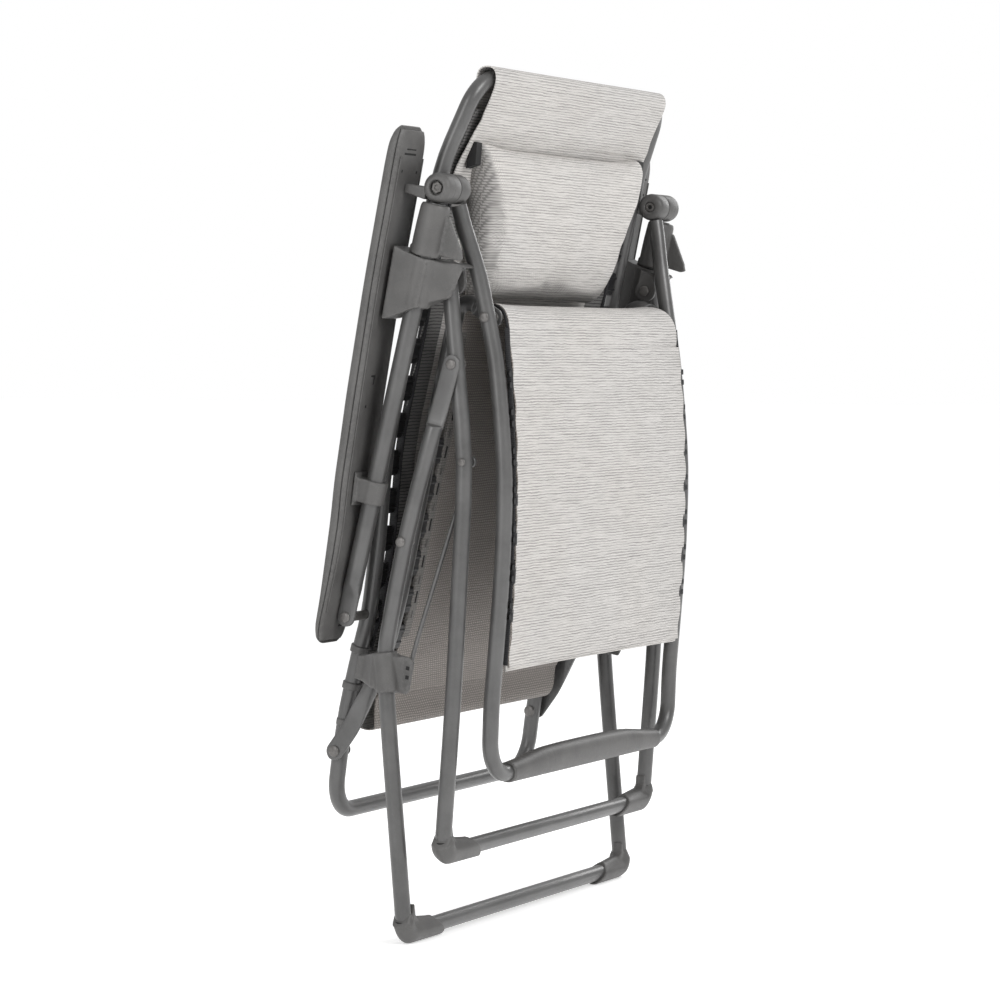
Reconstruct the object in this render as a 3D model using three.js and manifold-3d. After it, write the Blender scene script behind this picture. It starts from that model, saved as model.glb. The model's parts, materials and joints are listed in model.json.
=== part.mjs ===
// Folding zero-gravity recliner, shown in its folded standing state.
// Millimetres, +Z up. The seat and leg-rest side faces -Y, the back frame is
// towards +Y, the chair's own left is +X and its right is -X.
//
// Every piece is drawn in side-plane coordinates: w is the distance from the
// middle plane (positive on the chair's right), d runs to the front and h is
// the height. at() turns them into world coordinates.
import * as THREE from "three";
import { mergeVertices } from "three/addons/utils/BufferGeometryUtils.js";
import Module from "manifold-3d";

const wasm = await Module();
wasm.setup();

// ---------------------------------------------------------------- dimensions
const DEPTH_ORIGIN = -10.1; // side-plane depth that lies at Y = 0
const TUBE_R = 9; // frame tube radius
const RAIL_R = 10; // armrest rail radius
const TUBE_SIDES = 10; // facets round a tube
const BEND_STEPS = 4; // segments in a rounded corner
const LEG_BEND = 22; // corner radius between a leg and its floor bar
const SHANK_R = 4; // most rivets, bolts and pins
const STAY_SHANK_R = 3; // rivet of the stay rod
const HOLE_CLEARANCE = 0.35; // hole radius over shank radius

// pivots in the side plane, [d, h]
const KNOB = [46, 821]; // armrest rail to leg-rest frame
const KNEE = [75, 682]; // seat frame to leg-rest frame
const HIP = [-106.5, 203]; // back frame to seat frame
const REAR = [-68.5, 355]; // armrest rail to back frame
const SLIDE = [41, 719]; // slider bracket to front leg
const APEX = [49, 631]; // front leg to rear leg
const PIN = [-6, 438]; // rear leg to seat frame
const STAY = [59.8, 525]; // stay rod to front leg
const ROD_END = [-5, 302]; // stay rod to collar

// bars across the chair, [d, h]
const FRONT_BAR = [31.5, 99]; // floor bar of the front legs
const REAR_BAR = [-6, 12.5]; // floor bar of the rear legs
const HEAD_BAR = [66, 945];
const FOOT_BAR = [75, 182];

// side-plane lines that several pieces follow, [d, h]
const BACK_UPPER_LINE = [[-42.5, 541], [-22, 631], [20, 821]];
const BACK_LINE = [[-81, 315], REAR, [-52, 437], ...BACK_UPPER_LINE];
const LEGREST_CLOTH_LINE = [[98, 570], [102.3, 505], [100, 418], [92.7, 331]];
const REAR_LEG_KINK = [-29.7, 319];

// lateral positions
const W_FRONT_LEG = 271;
const W_REAR_LEG = 288;
const W_RAIL = 305;
const ARM_IN = 273; // inner and outer edge of the armrest
const ARM_OUT = 338;

// ---------------------------------------------------------------- materials
const finish = (look) => () => new THREE.MeshStandardMaterial(look);
const paint = finish({ color: 0x77736f, roughness: 0.45, metalness: 0.35 });
const plastic = finish({ color: 0x6b6866, roughness: 0.6, metalness: 0 });
const steel = finish({ color: 0x8f8e8c, roughness: 0.35, metalness: 0.9 });
const black = finish({ color: 0x1d1d1e, roughness: 0.7, metalness: 0 });
const cloth = finish({ color: 0xc9c3b8, roughness: 0.95, metalness: 0 });

// ---------------------------------------------------------------- coordinates
const at = (w, d, h) => new THREE.Vector3(-w, DEPTH_ORIGIN - d, h);
const between = (from, to) => [to[0] - from[0], to[1] - from[1]];

// side-plane frame on a line: s runs along it, o square to it (to the front of a rising line)
function lineFrame([d, h], direction) {
  const length = Math.hypot(...direction);
  const [x, y] = direction.map((c) => c / length);
  return (s, o) => [d + x * s + y * o, h + y * s - x * o];
}
const onRail = lineFrame(REAR, between(REAR, KNOB));

// a list of stations on the right, followed by its mirror image back on the left
const both = (list) => [...list, ...list.slice().reverse().map(([w, ...rest]) => [-w, ...rest])];

// ---------------------------------------------------------------- surfaces
// closed surface with its triangles turned to face outwards
function closed(points, index) {
  let volume = 0;
  for (let i = 0; i < index.length; i += 3) {
    const [a, b, c] = index.slice(i, i + 3).map((k) => points[k]);
    volume += a.dot(b.clone().cross(c));
  }
  if (volume < 0) {
    for (let i = 0; i < index.length; i += 3) {
      [index[i + 1], index[i + 2]] = [index[i + 2], index[i + 1]];
    }
  }
  return new THREE.BufferGeometry().setFromPoints(points).setIndex(index);
}

// skin over rings of equal length, closed by a fan at each end
function loft(rings) {
  const n = rings[0].length;
  const last = rings.length - 1;
  const points = rings.flat();
  const index = [];
  for (let i = 0; i < last; i++) {
    for (let k = 0; k < n; k++) {
      const a = i * n + k;
      const b = i * n + ((k + 1) % n);
      index.push(a, b, b + n, a, b + n, a + n);
    }
  }
  for (const i of [0, last]) {
    const middle = new THREE.Vector3();
    rings[i].forEach((point) => middle.add(point));
    const tip = points.push(middle.divideScalar(n)) - 1;
    for (let k = 0; k < n; k++) {
      const a = i * n + k;
      const b = i * n + ((k + 1) % n);
      if (i === 0) index.push(tip, b, a);
      else index.push(tip, a, b);
    }
  }
  return closed(points, index);
}

// flat outline given thickness from w0 to w1; place turns an outline point into [d, h]
function prism(outline, w0, w1, place = (d, h) => [d, h]) {
  const flat = outline.map(([x, y]) => new THREE.Vector2(x, y));
  const n = flat.length;
  const points = [w0, w1].flatMap((w) => outline.map(([x, y]) => at(w, ...place(x, y))));
  const index = THREE.ShapeUtils.triangulateShape(flat, [])
    .flatMap(([a, b, c]) => [a, b, c, n + a, n + c, n + b]);
  // the cap triangles always turn the same way, so the walls depend on the outline's turn
  const counterClockwise = THREE.ShapeUtils.area(flat) > 0;
  for (let k = 0; k < n; k++) {
    const next = (k + 1) % n;
    const [a, b] = counterClockwise ? [next, k] : [k, next];
    index.push(a, b, n + b, a, n + b, n + a);
  }
  return closed(points, index);
}

// piece turned on an axis across the chair; profile: [w, radius]
function turned(centre, profile, sides) {
  return loft(profile.map(([w, r]) => Array.from({ length: sides }, (_, k) => {
    const angle = (k / sides) * 2 * Math.PI;
    return at(w, centre[0] + r * Math.cos(angle), centre[1] + r * Math.sin(angle));
  })));
}
const cylinder = (centre, w0, w1, r, sides) => turned(centre, [[w0, r], [w1, r]], sides);

// piece turned on the rail axis; profile: [s, radius]
function turnedOnRail(profile, sides) {
  return loft(profile.map(([s, r]) => Array.from({ length: sides }, (_, k) => {
    const angle = ((k + 0.5) / sides) * 2 * Math.PI;
    return at(W_RAIL + r * Math.sin(angle), ...onRail(s, r * Math.cos(angle)));
  })));
}
const railBore = (s0, s1, clearance) =>
  turnedOnRail([[s0, RAIL_R + clearance], [s1, RAIL_R + clearance]], 12);
// slab centred on the rail; outline: [s, o]
const railSlab = (outline, halfWidth) =>
  prism(outline, W_RAIL - halfWidth, W_RAIL + halfWidth, onRail);

// ---------------------------------------------------------------- tubes
// tube section: halfU lies along the tube's reference direction, halfV square to it;
// squareness 2 is an ellipse and higher values near a rectangle
const section = (halfU, halfV, squareness = 2) => ({ halfU, halfV, squareness });
const round = (r) => section(r, r);
const TUBE = round(TUBE_R);
const FLAT = section(2, 10.5, 5); // flattened tube end
const ACROSS = [1, 0, 0];
const UPWARD = [0, 0, 1];

// path of [w, d, h, section, corner radius] to points with sections; null keeps the
// tube's own section
function route(path, steps) {
  const corners = path.map(([w, d, h]) => at(w, d, h));
  return path.flatMap(([, , , own, radius], i) => {
    const corner = corners[i];
    if (!radius || i === 0 || i === path.length - 1) return [{ point: corner, own }];
    const before = corners[i - 1].clone().sub(corner).normalize();
    const after = corners[i + 1].clone().sub(corner).normalize();
    const half = Math.acos(THREE.MathUtils.clamp(before.dot(after), -1, 1)) / 2;
    const setback = radius / Math.tan(half);
    const bisector = before.clone().add(after).normalize();
    const centre = corner.clone().addScaledVector(bisector, radius / Math.sin(half));
    const start = corner.clone().addScaledVector(before, setback).sub(centre);
    const end = corner.clone().addScaledVector(after, setback).sub(centre);
    const turn = start.angleTo(end);
    const axis = start.clone().cross(end).normalize();
    return Array.from({ length: steps + 1 }, (_, k) => {
      const arm = start.clone().applyAxisAngle(axis, (turn * k) / steps);
      return { point: centre.clone().add(arm), own };
    });
  });
}

const signedPower = (x, power) => Math.sign(x) * Math.abs(x) ** power;

function tube(path, common, { sides = TUBE_SIDES, steps = BEND_STEPS, reference = ACROSS } = {}) {
  const stations = route(path, steps);
  const u = new THREE.Vector3(...reference);
  return loft(stations.map(({ point, own }, i) => {
    const tangent = new THREE.Vector3();
    for (const j of [i, i + 1]) {
      if (j === 0 || j === stations.length) continue;
      tangent.add(stations[j].point.clone().sub(stations[j - 1].point).normalize());
    }
    tangent.normalize();
    // u is carried from ring to ring so that the tube does not twist
    u.addScaledVector(tangent, -u.dot(tangent)).normalize();
    const v = new THREE.Vector3().crossVectors(tangent, u);
    const { halfU, halfV, squareness } = own || common;
    const power = 2 / squareness;
    return Array.from({ length: sides }, (_, k) => {
      const angle = ((k + 0.5) / sides) * 2 * Math.PI;
      return point.clone()
        .addScaledVector(u, halfU * signedPower(Math.cos(angle), power))
        .addScaledVector(v, halfV * signedPower(Math.sin(angle), power));
    });
  }));
}

// ---------------------------------------------------------------- solids
function solid(geometry) {
  const bare = new THREE.BufferGeometry();
  bare.setAttribute("position", geometry.getAttribute("position").clone());
  bare.setIndex(geometry.index);
  const merged = mergeVertices(bare, 1e-4);
  return new wasm.Manifold(new wasm.Mesh({
    numProp: 3,
    vertProperties: merged.attributes.position.array,
    triVerts: new Uint32Array(merged.index.array),
  }));
}
function surface(body) {
  const mesh = body.getMesh();
  return new THREE.BufferGeometry()
    .setAttribute("position", new THREE.BufferAttribute(new Float32Array(mesh.vertProperties), 3))
    .setIndex(Array.from(mesh.triVerts));
}
const join = (...parts) => surface(parts.map(solid).reduce((a, b) => a.add(b)));
const cut = (part, ...tools) =>
  surface(tools.map(solid).reduce((a, b) => a.subtract(b), solid(part)));

const drill = (pivot, w0, w1, shank = SHANK_R) =>
  cylinder(pivot, w0, w1, shank + HOLE_CLEARANCE, 10);
const drillBoth = (pivot, w0, w1, shank) =>
  [drill(pivot, w0, w1, shank), drill(pivot, -w1, -w0, shank)];

function mirrored(geometry) {
  const { position } = geometry.attributes;
  const flip = new THREE.Vector3(-1, 1, 1);
  const points = Array.from({ length: position.count }, (_, i) =>
    new THREE.Vector3().fromBufferAttribute(position, i).multiply(flip));
  return closed(points, Array.from(geometry.index.array));
}

// ---------------------------------------------------------------- back and seat frames
function backLowerTube() {
  const path = both([
    [256.8, -59.9, 398.2], [252, ...REAR], [250, -81, 315], [249, -98, 250],
    [248, -107, 200], [248, -116, 133, null, 40],
  ]);
  return cut(tube(path, TUBE, { steps: 5 }),
    ...drillBoth(HIP, 230, 270), ...drillBoth(REAR, 235, 275));
}

function backUpperTube() {
  return tube(both([
    [256.9, -59.7, 399], [262, -52, 437], ...BACK_UPPER_LINE.map((point) => [262, ...point]),
    [259, 30, 858], [246, ...HEAD_BAR, null, 42],
  ]), TUBE, { steps: 5 });
}

function seatTube() {
  const path = [
    [261, -113.4, 193.6, FLAT], [261, ...HIP, FLAT], [261, -87, 229, FLAT],
    [262, -50, 295], [262, -29.8, 357], [260, -12.4, 437], [247, 7.5, 556], [234, 17.6, 631],
    [231, 25.7, 673], [231, 34, 707, null, 16], [231, 56, 693.5, section(2.6, 10.5, 4)],
    [231, ...KNEE, FLAT], [231, 83, 677.5, FLAT],
  ];
  return cut(tube(path, TUBE), drill(HIP, 250, 272), drill(KNEE, 222, 240));
}

// ---------------------------------------------------------------- leg rest
function legrestTube() {
  const path = both([
    [267.6, 49.8, 803.4], [264, 54.8, 779], [258, 59.6, 758], [251, 66.8, 727],
    [247, ...KNEE], [244, 83.5, 636], [244, 90.2, 570], [244, 94.3, 505], [244, 91.9, 418],
    [244, 84.7, 331], [244, 78, 262], [244, ...FOOT_BAR, null, 40],
  ]);
  return cut(tube(path, TUBE, { steps: 5 }), ...drillBoth(KNEE, 234, 260));
}

// sleeve on the foot bar: nearly straight underneath, swelling upwards to the middle
function footrestGrip() {
  const halfLength = 200;
  const halfDepth = 12.6;
  const [d, h] = FOOT_BAR;
  // [w, rise of the centre, half height]
  const stations = both([
    [halfLength, 0, 11], [halfLength - 4, 0, 12.2], [165, 1.2, 13.2], [100, 3, 15],
    [40, 3.9, 15.8],
  ]);
  const path = stations.map(([w, rise, halfHeight]) =>
    [w, d, h + rise, section(halfHeight, halfDepth)]);
  const bore = tube(both([[halfLength + 5, d, h]]), round(TUBE_R + 0.8), { reference: UPWARD });
  return cut(tube(path, TUBE, { reference: UPWARD, sides: 12 }), bore);
}

// ---------------------------------------------------------------- legs
const FRONT_LEG_LOW = [45, 267]; // last point above the floor bar, [d, h]
const REAR_LEG_LOW = [-23.2, 211];

function frontLegTube() {
  const line = [[40.2, 728.5], SLIDE, APEX, STAY, [51.3, 375], FRONT_LEG_LOW];
  const path = line.map((point) => [W_FRONT_LEG, ...point]);
  path.push([W_FRONT_LEG, ...FRONT_BAR, null, LEG_BEND]);
  return cut(tube(both(path), TUBE), ...drillBoth(SLIDE, 255, 285),
    ...drillBoth(APEX, 255, 285), ...drillBoth(STAY, 255, 285, STAY_SHANK_R));
}

function rearLegTube() {
  const line = [[27, 552], PIN, REAR_LEG_KINK, [-28.3, 278], REAR_LEG_LOW];
  const path = [
    [283, 52.6, 643.5, FLAT], [283, ...APEX, FLAT], [283, 32.5, 575, FLAT],
    ...line.map((point) => [W_REAR_LEG, ...point]),
    [W_REAR_LEG, ...REAR_BAR, null, LEG_BEND],
  ];
  return cut(tube(both(path), TUBE), ...drillBoth(APEX, 278, 288), ...drillBoth(PIN, 270, 300));
}

// shoe under the corner of a floor bar: low outside, a lip up the inside of the leg,
// a slanted end along the bar, and a flat sole
function footCap(bar, w, legLow) {
  const [d, h] = bar;
  const upLeg = lineFrame(bar, between(bar, legLow));
  // block running front to rear; outline: [w, h] from the corner
  const block = (outline, rear, front) => loft([d - rear, d + front].map((depth) =>
    outline.map(([x, z]) => at(w + x, depth, h + z))));

  const shell = tube([[w, ...upLeg(16, 0)], [w, d, h, null, 15], [w - 84, d, h]],
    section(12.8, 11.8, 3.2), { sides: 12, steps: 3 });
  const lip = block([[-6, 8], [-6, 22], [-10.6, 31], [-13, 20], [-21, 12], [-24, 4]], 6, 9);
  const core = tube([[w, ...upLeg(60, 0)], [w, d, h, null, LEG_BEND], [w - 96, d, h]],
    round(TUBE_R + 0.6));
  const slant = block([[-57, 30], [-58, 4], [-80, -6], [-100, -6], [-100, 30]], 30, 30);
  const rim = block([[30, 12.5], [4, 9.5], [-7, 14], [-7, 40], [30, 40]], 30, 30);
  const floor = block([[-130, -12.5], [40, -12.5], [40, -40], [-130, -40]], 40, 40);
  return cut(join(shell, lip), core, slant, rim, floor);
}

// ---------------------------------------------------------------- fasteners
// [name, pivot, profile of [w, radius] from the inner end outwards]
const FASTENERS = [
  ["leg_apex_rivet", APEX, [[258.6, 5.5], [259.6, 8], [261.6, 8], [261.7, 4], [285.2, 4],
    [285.4, 8], [287.2, 8], [288.4, 5]]],
  ["slider_bolt", SLIDE, [[251.4, 4.5], [252.2, 6], [254.1, 6], [254.2, 4], [286.4, 4],
    [286.5, 5.6], [288.2, 5.6], [289, 4]]],
  ["hip_rivet", HIP, [[235.6, 5], [236.6, 8], [238.5, 8], [238.6, 4], [257.4, 4], [257.5, 7],
    [258.6, 7], [258.7, 4], [263.3, 4], [263.5, 8.5], [265.4, 8.5], [266.6, 5]]],
  ["armrest_rear_rivet", REAR, [[239.4, 5], [240.4, 8], [242.4, 8], [242.5, 4], [261.6, 4],
    [261.8, 7.5], [301.8, 7.5], [302, 4], [307.9, 4], [308.2, 9], [310, 9], [311.2, 6]]],
  ["knee_rivet", KNEE, [[225, 5], [226, 7.5], [228.3, 7.5], [228.5, 4], [233.6, 4],
    [233.8, 6.5], [237.5, 6.5], [237.6, 4], [256.5, 4], [256.6, 8], [258.4, 8], [259.6, 5]]],
  ["seat_pivot_pin", PIN, [[271.6, 5], [278.4, 5], [278.6, 4], [297.4, 4], [297.6, 8],
    [299.4, 8], [300.4, 5]]],
  ["stay_rivet", STAY, [[253.6, 4], [254.2, 5.4], [255.4, 5.4], [255.5, 3], [280.5, 3],
    [280.7, 6.5], [282.2, 6.5], [283, 4]]],
];

// ---------------------------------------------------------------- stays
// rod with an eye at the front leg
function stayRod() {
  const span = between(STAY, ROD_END);
  const length = Math.hypot(...span);
  const onRod = lineFrame(STAY, span);
  // [w, distance from the eye]
  const stations = [[258.4, 4], [258.6, 26], [275.5, length - 30], [275.8, length]];
  const rod = tube(stations.map(([w, s]) => [w, ...onRod(s, 0)]), round(2.5), { sides: 8 });
  const eye = cylinder(STAY, 256, 260.8, 6.4, 12);
  return cut(join(rod, eye), cylinder(STAY, 250, 265, 3.5, 10));
}

// collar on the rear leg: a hollow bulge round the tube, an arm to the rear and a
// flange to the front that meets the rod; outlines are [s, o] along the leg
function stayCollar() {
  const onLeg = lineFrame([-29.7, 296], between(REAR_LEG_KINK, PIN));
  const slab = (w0, w1, outline) => prism(outline, w0, w1, onLeg);
  const bulge = slab(273, 302.5, [[-21, -17.5], [-21, 22], [21, 13], [21, -17.5]]);
  const flange = slab(279, 284, [[-20, 12], [-20, 28], [-14, 30], [16, 30], [21, 25], [21, 12]]);
  const arm = slab(273, 281, [[-18, -40], [-21, -10], [17, -10], [8, -40.5]]);
  const hollow = slab(278.4, 297.8,
    [[-60, -14.4], [-60, 32], [-21, 18.9], [22, 6.2], [60, 6.2], [60, -14.4]]);
  const window = (s, o) => slab(270, 290, [[s, o], [s + 4, o], [s + 4, o + 4], [s, o + 4]]);
  return cut(join(bulge, flange, arm), hollow, window(-3, 23.6), window(7, 22.4));
}

// ---------------------------------------------------------------- armrests
// Outlines from here to the lock lever are [s, o] on the rail: s up from the rear
// rivet, o to the front of the rail axis.
function armrestRail() {
  const flat = section(2.6, 10.5, 5);
  const stations = [[-12, flat], [0, flat], [20, flat], [42], [463]];
  const path = stations.map(([s, own]) => [W_RAIL, ...onRail(s, 0), own]);
  return cut(tube(path, round(RAIL_R), { sides: 12 }), drill(REAR, 295, 315));
}

// the pad runs from close behind the rail at its lower end to well clear of it at the top
// [s, near face, far face, width factor (1 if absent)]; faces measured behind the rail axis
const PAD = [
  [-32, 11.5, 14.2, 0.55], [-26, 11.5, 17.5, 0.8], [-12, 11.5, 20, 0.95], [16, 11.5, 21.5],
  [60, 11.6, 26], [103, 13.5, 30], [147, 18.9, 35.5], [190, 22, 39], [234, 25.5, 43],
  [278, 28.5, 46], [322, 31.5, 48.8], [365, 34.5, 51.5], [409, 36.5, 53.5], [453, 38, 55.5],
  [496, 40, 57.5], [518, 41, 57.5, 0.94], [530, 42.4, 55.5, 0.76], [537, 44.5, 52.5, 0.5],
];
const baseThickness = (s) => 2.4 + 2.4 * THREE.MathUtils.clamp((s - 20) / 120, 0, 1);

// cross-section of the armrest; outline: [x from -1 to 1 across, y from 0 near to 1 far]
function armRing(outline, s, width, near, far, crown = 0) {
  const middle = (ARM_IN + ARM_OUT) / 2;
  const half = (ARM_OUT - ARM_IN) / 2;
  return outline.map(([x, y]) => {
    const bulge = crown * Math.max(0, y - 0.55) * (1 - x * x);
    return at(middle + half * width * x, ...onRail(s, -(near + (far - near) * y + bulge)));
  });
}

function armrestShell() {
  const gap = 0.3; // between the base and the shell
  const outline = [
    [-0.96, 0], [0.96, 0], [1, 0.3], [1, 0.62], [0.9, 0.88], [0.62, 1],
    [0.2, 1], [-0.2, 1], [-0.62, 1], [-0.9, 0.88], [-1, 0.62], [-1, 0.3],
  ];
  return loft(PAD.map(([s, near, far, width = 1]) => {
    const crown = Math.max(0, Math.min(6.5, (s + 32) / 6, (537 - s) / 3));
    return armRing(outline, s, width, near + baseThickness(s) + gap, far, crown);
  }));
}

// near face of the pad between two stations
function padNear(s) {
  const i = PAD.findIndex(([station]) => station >= s);
  const [s0, near0] = PAD[i - 1];
  const [s1, near1] = PAD[i];
  return near0 + ((near1 - near0) * (s - s0)) / (s1 - s0);
}

function armrestBase() {
  const outline = [[-0.84, 0], [0.84, 0], [0.95, 0.6], [0.95, 1], [-0.95, 1], [-0.95, 0.6]];
  const plate = loft(PAD.slice(1, -1).map(([s, near, , width = 1]) =>
    armRing(outline, s, 0.94 * width, near, near + baseThickness(s))));
  // notches in the near face: [s0, s1, w0, w1]
  const notches = [
    [506, 509, 300, 324], [512, 514, 300, 324], [486, 490, 288, 291],
    [486, 490, 322, 325], [250, 266, 306, 310], [228, 233, 316, 320],
  ];
  return cut(plate, ...notches.map(([s0, s1, w0, w1]) => {
    const face = -padNear((s0 + s1) / 2);
    return prism([[s0, face + 4], [s1, face + 4], [s1, face - 2], [s0, face - 2]], w0, w1, onRail);
  }));
}

// saddle that ties the rail to the armrest
function armrestClip() {
  const ring = turnedOnRail([[128, 14], [154, 14]], 14);
  const block = railSlab([[128, -16.3], [154, -19.1], [154, -4], [128, -4]], 14);
  const foot = railSlab([[122, -15.6], [160, -19.6], [158, -16.4], [124, -12.8]], 17);
  return cut(join(ring, block, foot), railBore(115, 167, 0.7));
}

// round fitting on the top end of the rail, with a short post to the pad
function railEndFitting() {
  const drum = turned(KNOB, [[283.6, 14.5], [285, 16.25], [311, 16.25], [314, 14.5],
    [315.6, 10.5]], 18);
  const post = railSlab([[465.5, -38.2], [477, -38.8], [477, -8], [465.5, -8]], 6);
  const headRecess = cylinder(KNOB, 307, 320, 8.6, 6);
  const boltHole = cylinder(KNOB, 290, 310, 4.4, 10);
  return cut(join(drum, post), railBore(300, 463.4, 0.4), headRecess, boltHole);
}

function pivotBolt() {
  return turned(KNOB, [[290.4, 4], [307.4, 4], [307.5, 7.6], [313, 7.6], [314.2, 6]], 6);
}

// inner half of the fitting, on the leg-rest frame
function pivotCap() {
  const drum = turned(KNOB, [[257.6, 9], [259, 14], [261, 16.25], [281.6, 16.25],
    [283, 14.5]], 18);
  return cut(drum, cylinder(KNOB, 250, 261, 5, 6));
}

// housing round the rail, two ears for the front leg and a web over its top
function sliderBracket() {
  const [x, y] = between(REAR, KNOB);
  const [dx, dy] = between(REAR, SLIDE);
  const length = Math.hypot(x, y);
  const boltS = (dx * x + dy * y) / length; // the slider bolt's place on the rail
  const boltO = (dx * y - dy * x) / length;
  const polar = (r, degrees) => {
    const angle = THREE.MathUtils.degToRad(degrees);
    return [boltS + r * Math.cos(angle), boltO + r * Math.sin(angle)];
  };
  const slab = (w0, w1, outline) => prism(outline, w0, w1, onRail);
  const housing = slab(287, 322, [[327, -28.5], [329, -14], [341, 12.9], [398, 12.9],
    [403.6, 6], [403.6, -33]]);
  const outerEar = slab(281.5, 286, [[330, -12], [330, 8], [352, 17], [360, 22],
    polar(13.5, 110), polar(13.5, 60), polar(17, 35), [403, 38], [403.6, 12], [403.6, -12]]);
  const bridge = slab(285.5, 288, [[330, -12], [330, 8], [336, 12.9], [398, 12.9],
    [403.6, 8], [403.6, -12]]);
  const web = slab(255, 282, [polar(13.8, -18), polar(13.6, 0), polar(14.2, 16),
    polar(17.2, 30), [401, 26], [403.6, 10], [398, 8]]);
  const innerEar = slab(254.6, 260.4, [polar(13.5, -100), polar(13.5, -60), [398, 8],
    [403.6, 8], [401, 26], polar(17.2, 30), polar(13.5, 60), polar(13.5, 110),
    polar(13.5, 160), polar(13.5, -150)]);
  return cut(join(housing, outerEar, bridge, web, innerEar), railBore(310, 420, 0.8),
    drill(SLIDE, 250, 288.6), cylinder(SLIDE, 286.1, 292, 6.4, 10));
}

// sleeve that turns on the rail, with a flat wing
function lockLever() {
  const sleeve = turnedOnRail([[404.6, 16], [407, 17], [440, 17], [458, 16.4], [462, 15]], 14);
  const wing = railSlab([[410, 8], [408, 40], [412, 46], [420, 42], [452, 20], [452, 8]], 2);
  const rib = railSlab([[404.6, -17.5], [404.6, -5], [420, -5], [414, -17.5]], 8);
  return cut(join(sleeve, wing, rib), railBore(395, 470, 0.8));
}

// ---------------------------------------------------------------- sling
const widen = (line, halfWidth) => line.map((point) => [...point, halfWidth]);

// cloth across the chair along a line of [d, h, half width]
function sheet(line) {
  const halfThickness = 1.6;
  return loft(line.map(([d, h, halfWidth], i) => {
    const before = line[Math.max(0, i - 1)];
    const after = line[Math.min(line.length - 1, i + 1)];
    const onLine = lineFrame([d, h], between(before, after));
    return [[-1, -1], [1, -1], [1, 1], [-1, 1]].map(([side, face]) =>
      at(side * halfWidth, ...onLine(0, face * halfThickness)));
  }));
}

const backPanel = () => sheet([
  [-101, 232, 232], [-98, 250, 234], ...widen(BACK_LINE, 234), [31, 862, 234], [40.5, 889, 230],
]);
const seatPanel = () => sheet([
  [-78, 246, 228], [-48.5, 300, 232], [-29.8, 357, 232], [-12.4, 437, 232], [7.5, 556, 226],
  [17.6, 631, 218], [25.7, 673, 216], [31, 697, 216], [44, 704, 216], [56, 700, 216],
]);
const legrestPanel = () => sheet([
  [88, 668, 220], [93, 636, 228], ...widen(LEGREST_CLOTH_LINE, 229), [90.5, 300, 229],
]);

function headPillow() {
  const edge = 12; // width of the thinned side edge
  const bendHeight = 821; // the pillow leans further forward above this
  // [h, half width, half thickness]
  const rows = [[702, 140, 3], [712, 145, 14], [745, 158, 19], [800, 178, 19],
    [855, 198, 16], [868, 203, 11], [876, 204, 3]];
  return loft(rows.map(([h, halfWidth, thick]) => {
    const above = h - bendHeight;
    const middle = 44.5 + (above * 38) / 194 + 0.07 * Math.max(0, above);
    const inner = halfWidth - edge;
    // [w, share of the half thickness]
    const ring = [
      [-halfWidth, 0.35], [-inner, 1], [inner, 1], [halfWidth, 0.35],
      [halfWidth, -0.35], [inner, -1], [-inner, -1], [-halfWidth, -0.35],
    ];
    return ring.map(([w, share]) => at(w, middle + share * thick, h - share * thick * 0.18));
  }));
}

// cloth loop over the head bar
const headPocket = () => prism([
  [44.8, 900], [54, 935], [54.2, 949], [59, 956.4], [73, 956.4], [77.8, 949], [77.8, 936],
  [62, 892], [59.6, 893], [75.5, 937], [75.5, 948.4], [71.8, 954.6], [60.2, 954.6],
  [56.5, 948.4], [56.4, 935.5], [47.2, 899.5],
], -192, 192);

// row of clips along an edge of the sling: teeth on a spine that follows a line of [d, h]
function comb(line, w0, w1, { tall, start }) {
  const spine = 2.4; // half thickness
  const pitch = 42;
  const tooth = 28;
  const reached = [0]; // distance along the line at each of its points
  for (let i = 1; i < line.length; i++) {
    reached.push(reached[i - 1] + Math.hypot(...between(line[i - 1], line[i])));
  }
  const total = reached.at(-1);
  const onLine = ([s, o]) => {
    let i = 1;
    while (i < line.length - 1 && reached[i] < s) i++;
    return lineFrame(line[i - 1], between(line[i - 1], line[i]))(s - reached[i - 1], o);
  };
  const outline = [[0, spine]];
  for (let s = start; s + tooth < total; s += pitch) {
    outline.push([s, spine], [s + 1, tall], [s + tooth - 1, tall], [s + tooth, spine]);
  }
  outline.push([total, spine], ...reached.map((s) => [s, -spine]).reverse());
  return prism(outline.map(onLine), w0, w1);
}

const backClips = () =>
  comb([[-92, 272], ...BACK_LINE, [26, 843]], 235, 238.6, { tall: 7, start: 8 });
const seatClips = () =>
  comb([[-45, 310], [-29.8, 357], [-12.4, 437], [2, 520]], 233.5, 237, { tall: 8, start: 6 });
const legrestClips = () =>
  comb([[92.6, 640], ...LEGREST_CLOTH_LINE, [91.5, 312]], 230, 234, { tall: 5.5, start: 6 });

// ---------------------------------------------------------------- assembly
const chair = new THREE.Group();
chair.name = "zero_gravity_recliner";

function put(name, geometry, material) {
  const faceted = geometry.toNonIndexed();
  faceted.computeVertexNormals();
  const mesh = new THREE.Mesh(faceted, material());
  mesh.name = name;
  chair.add(mesh);
}
// a piece drawn on the chair's right, with its twin on the left
function pair(name, geometry, material) {
  put(name + "_right", geometry, material);
  put(name + "_left", mirrored(geometry), material);
}

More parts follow.
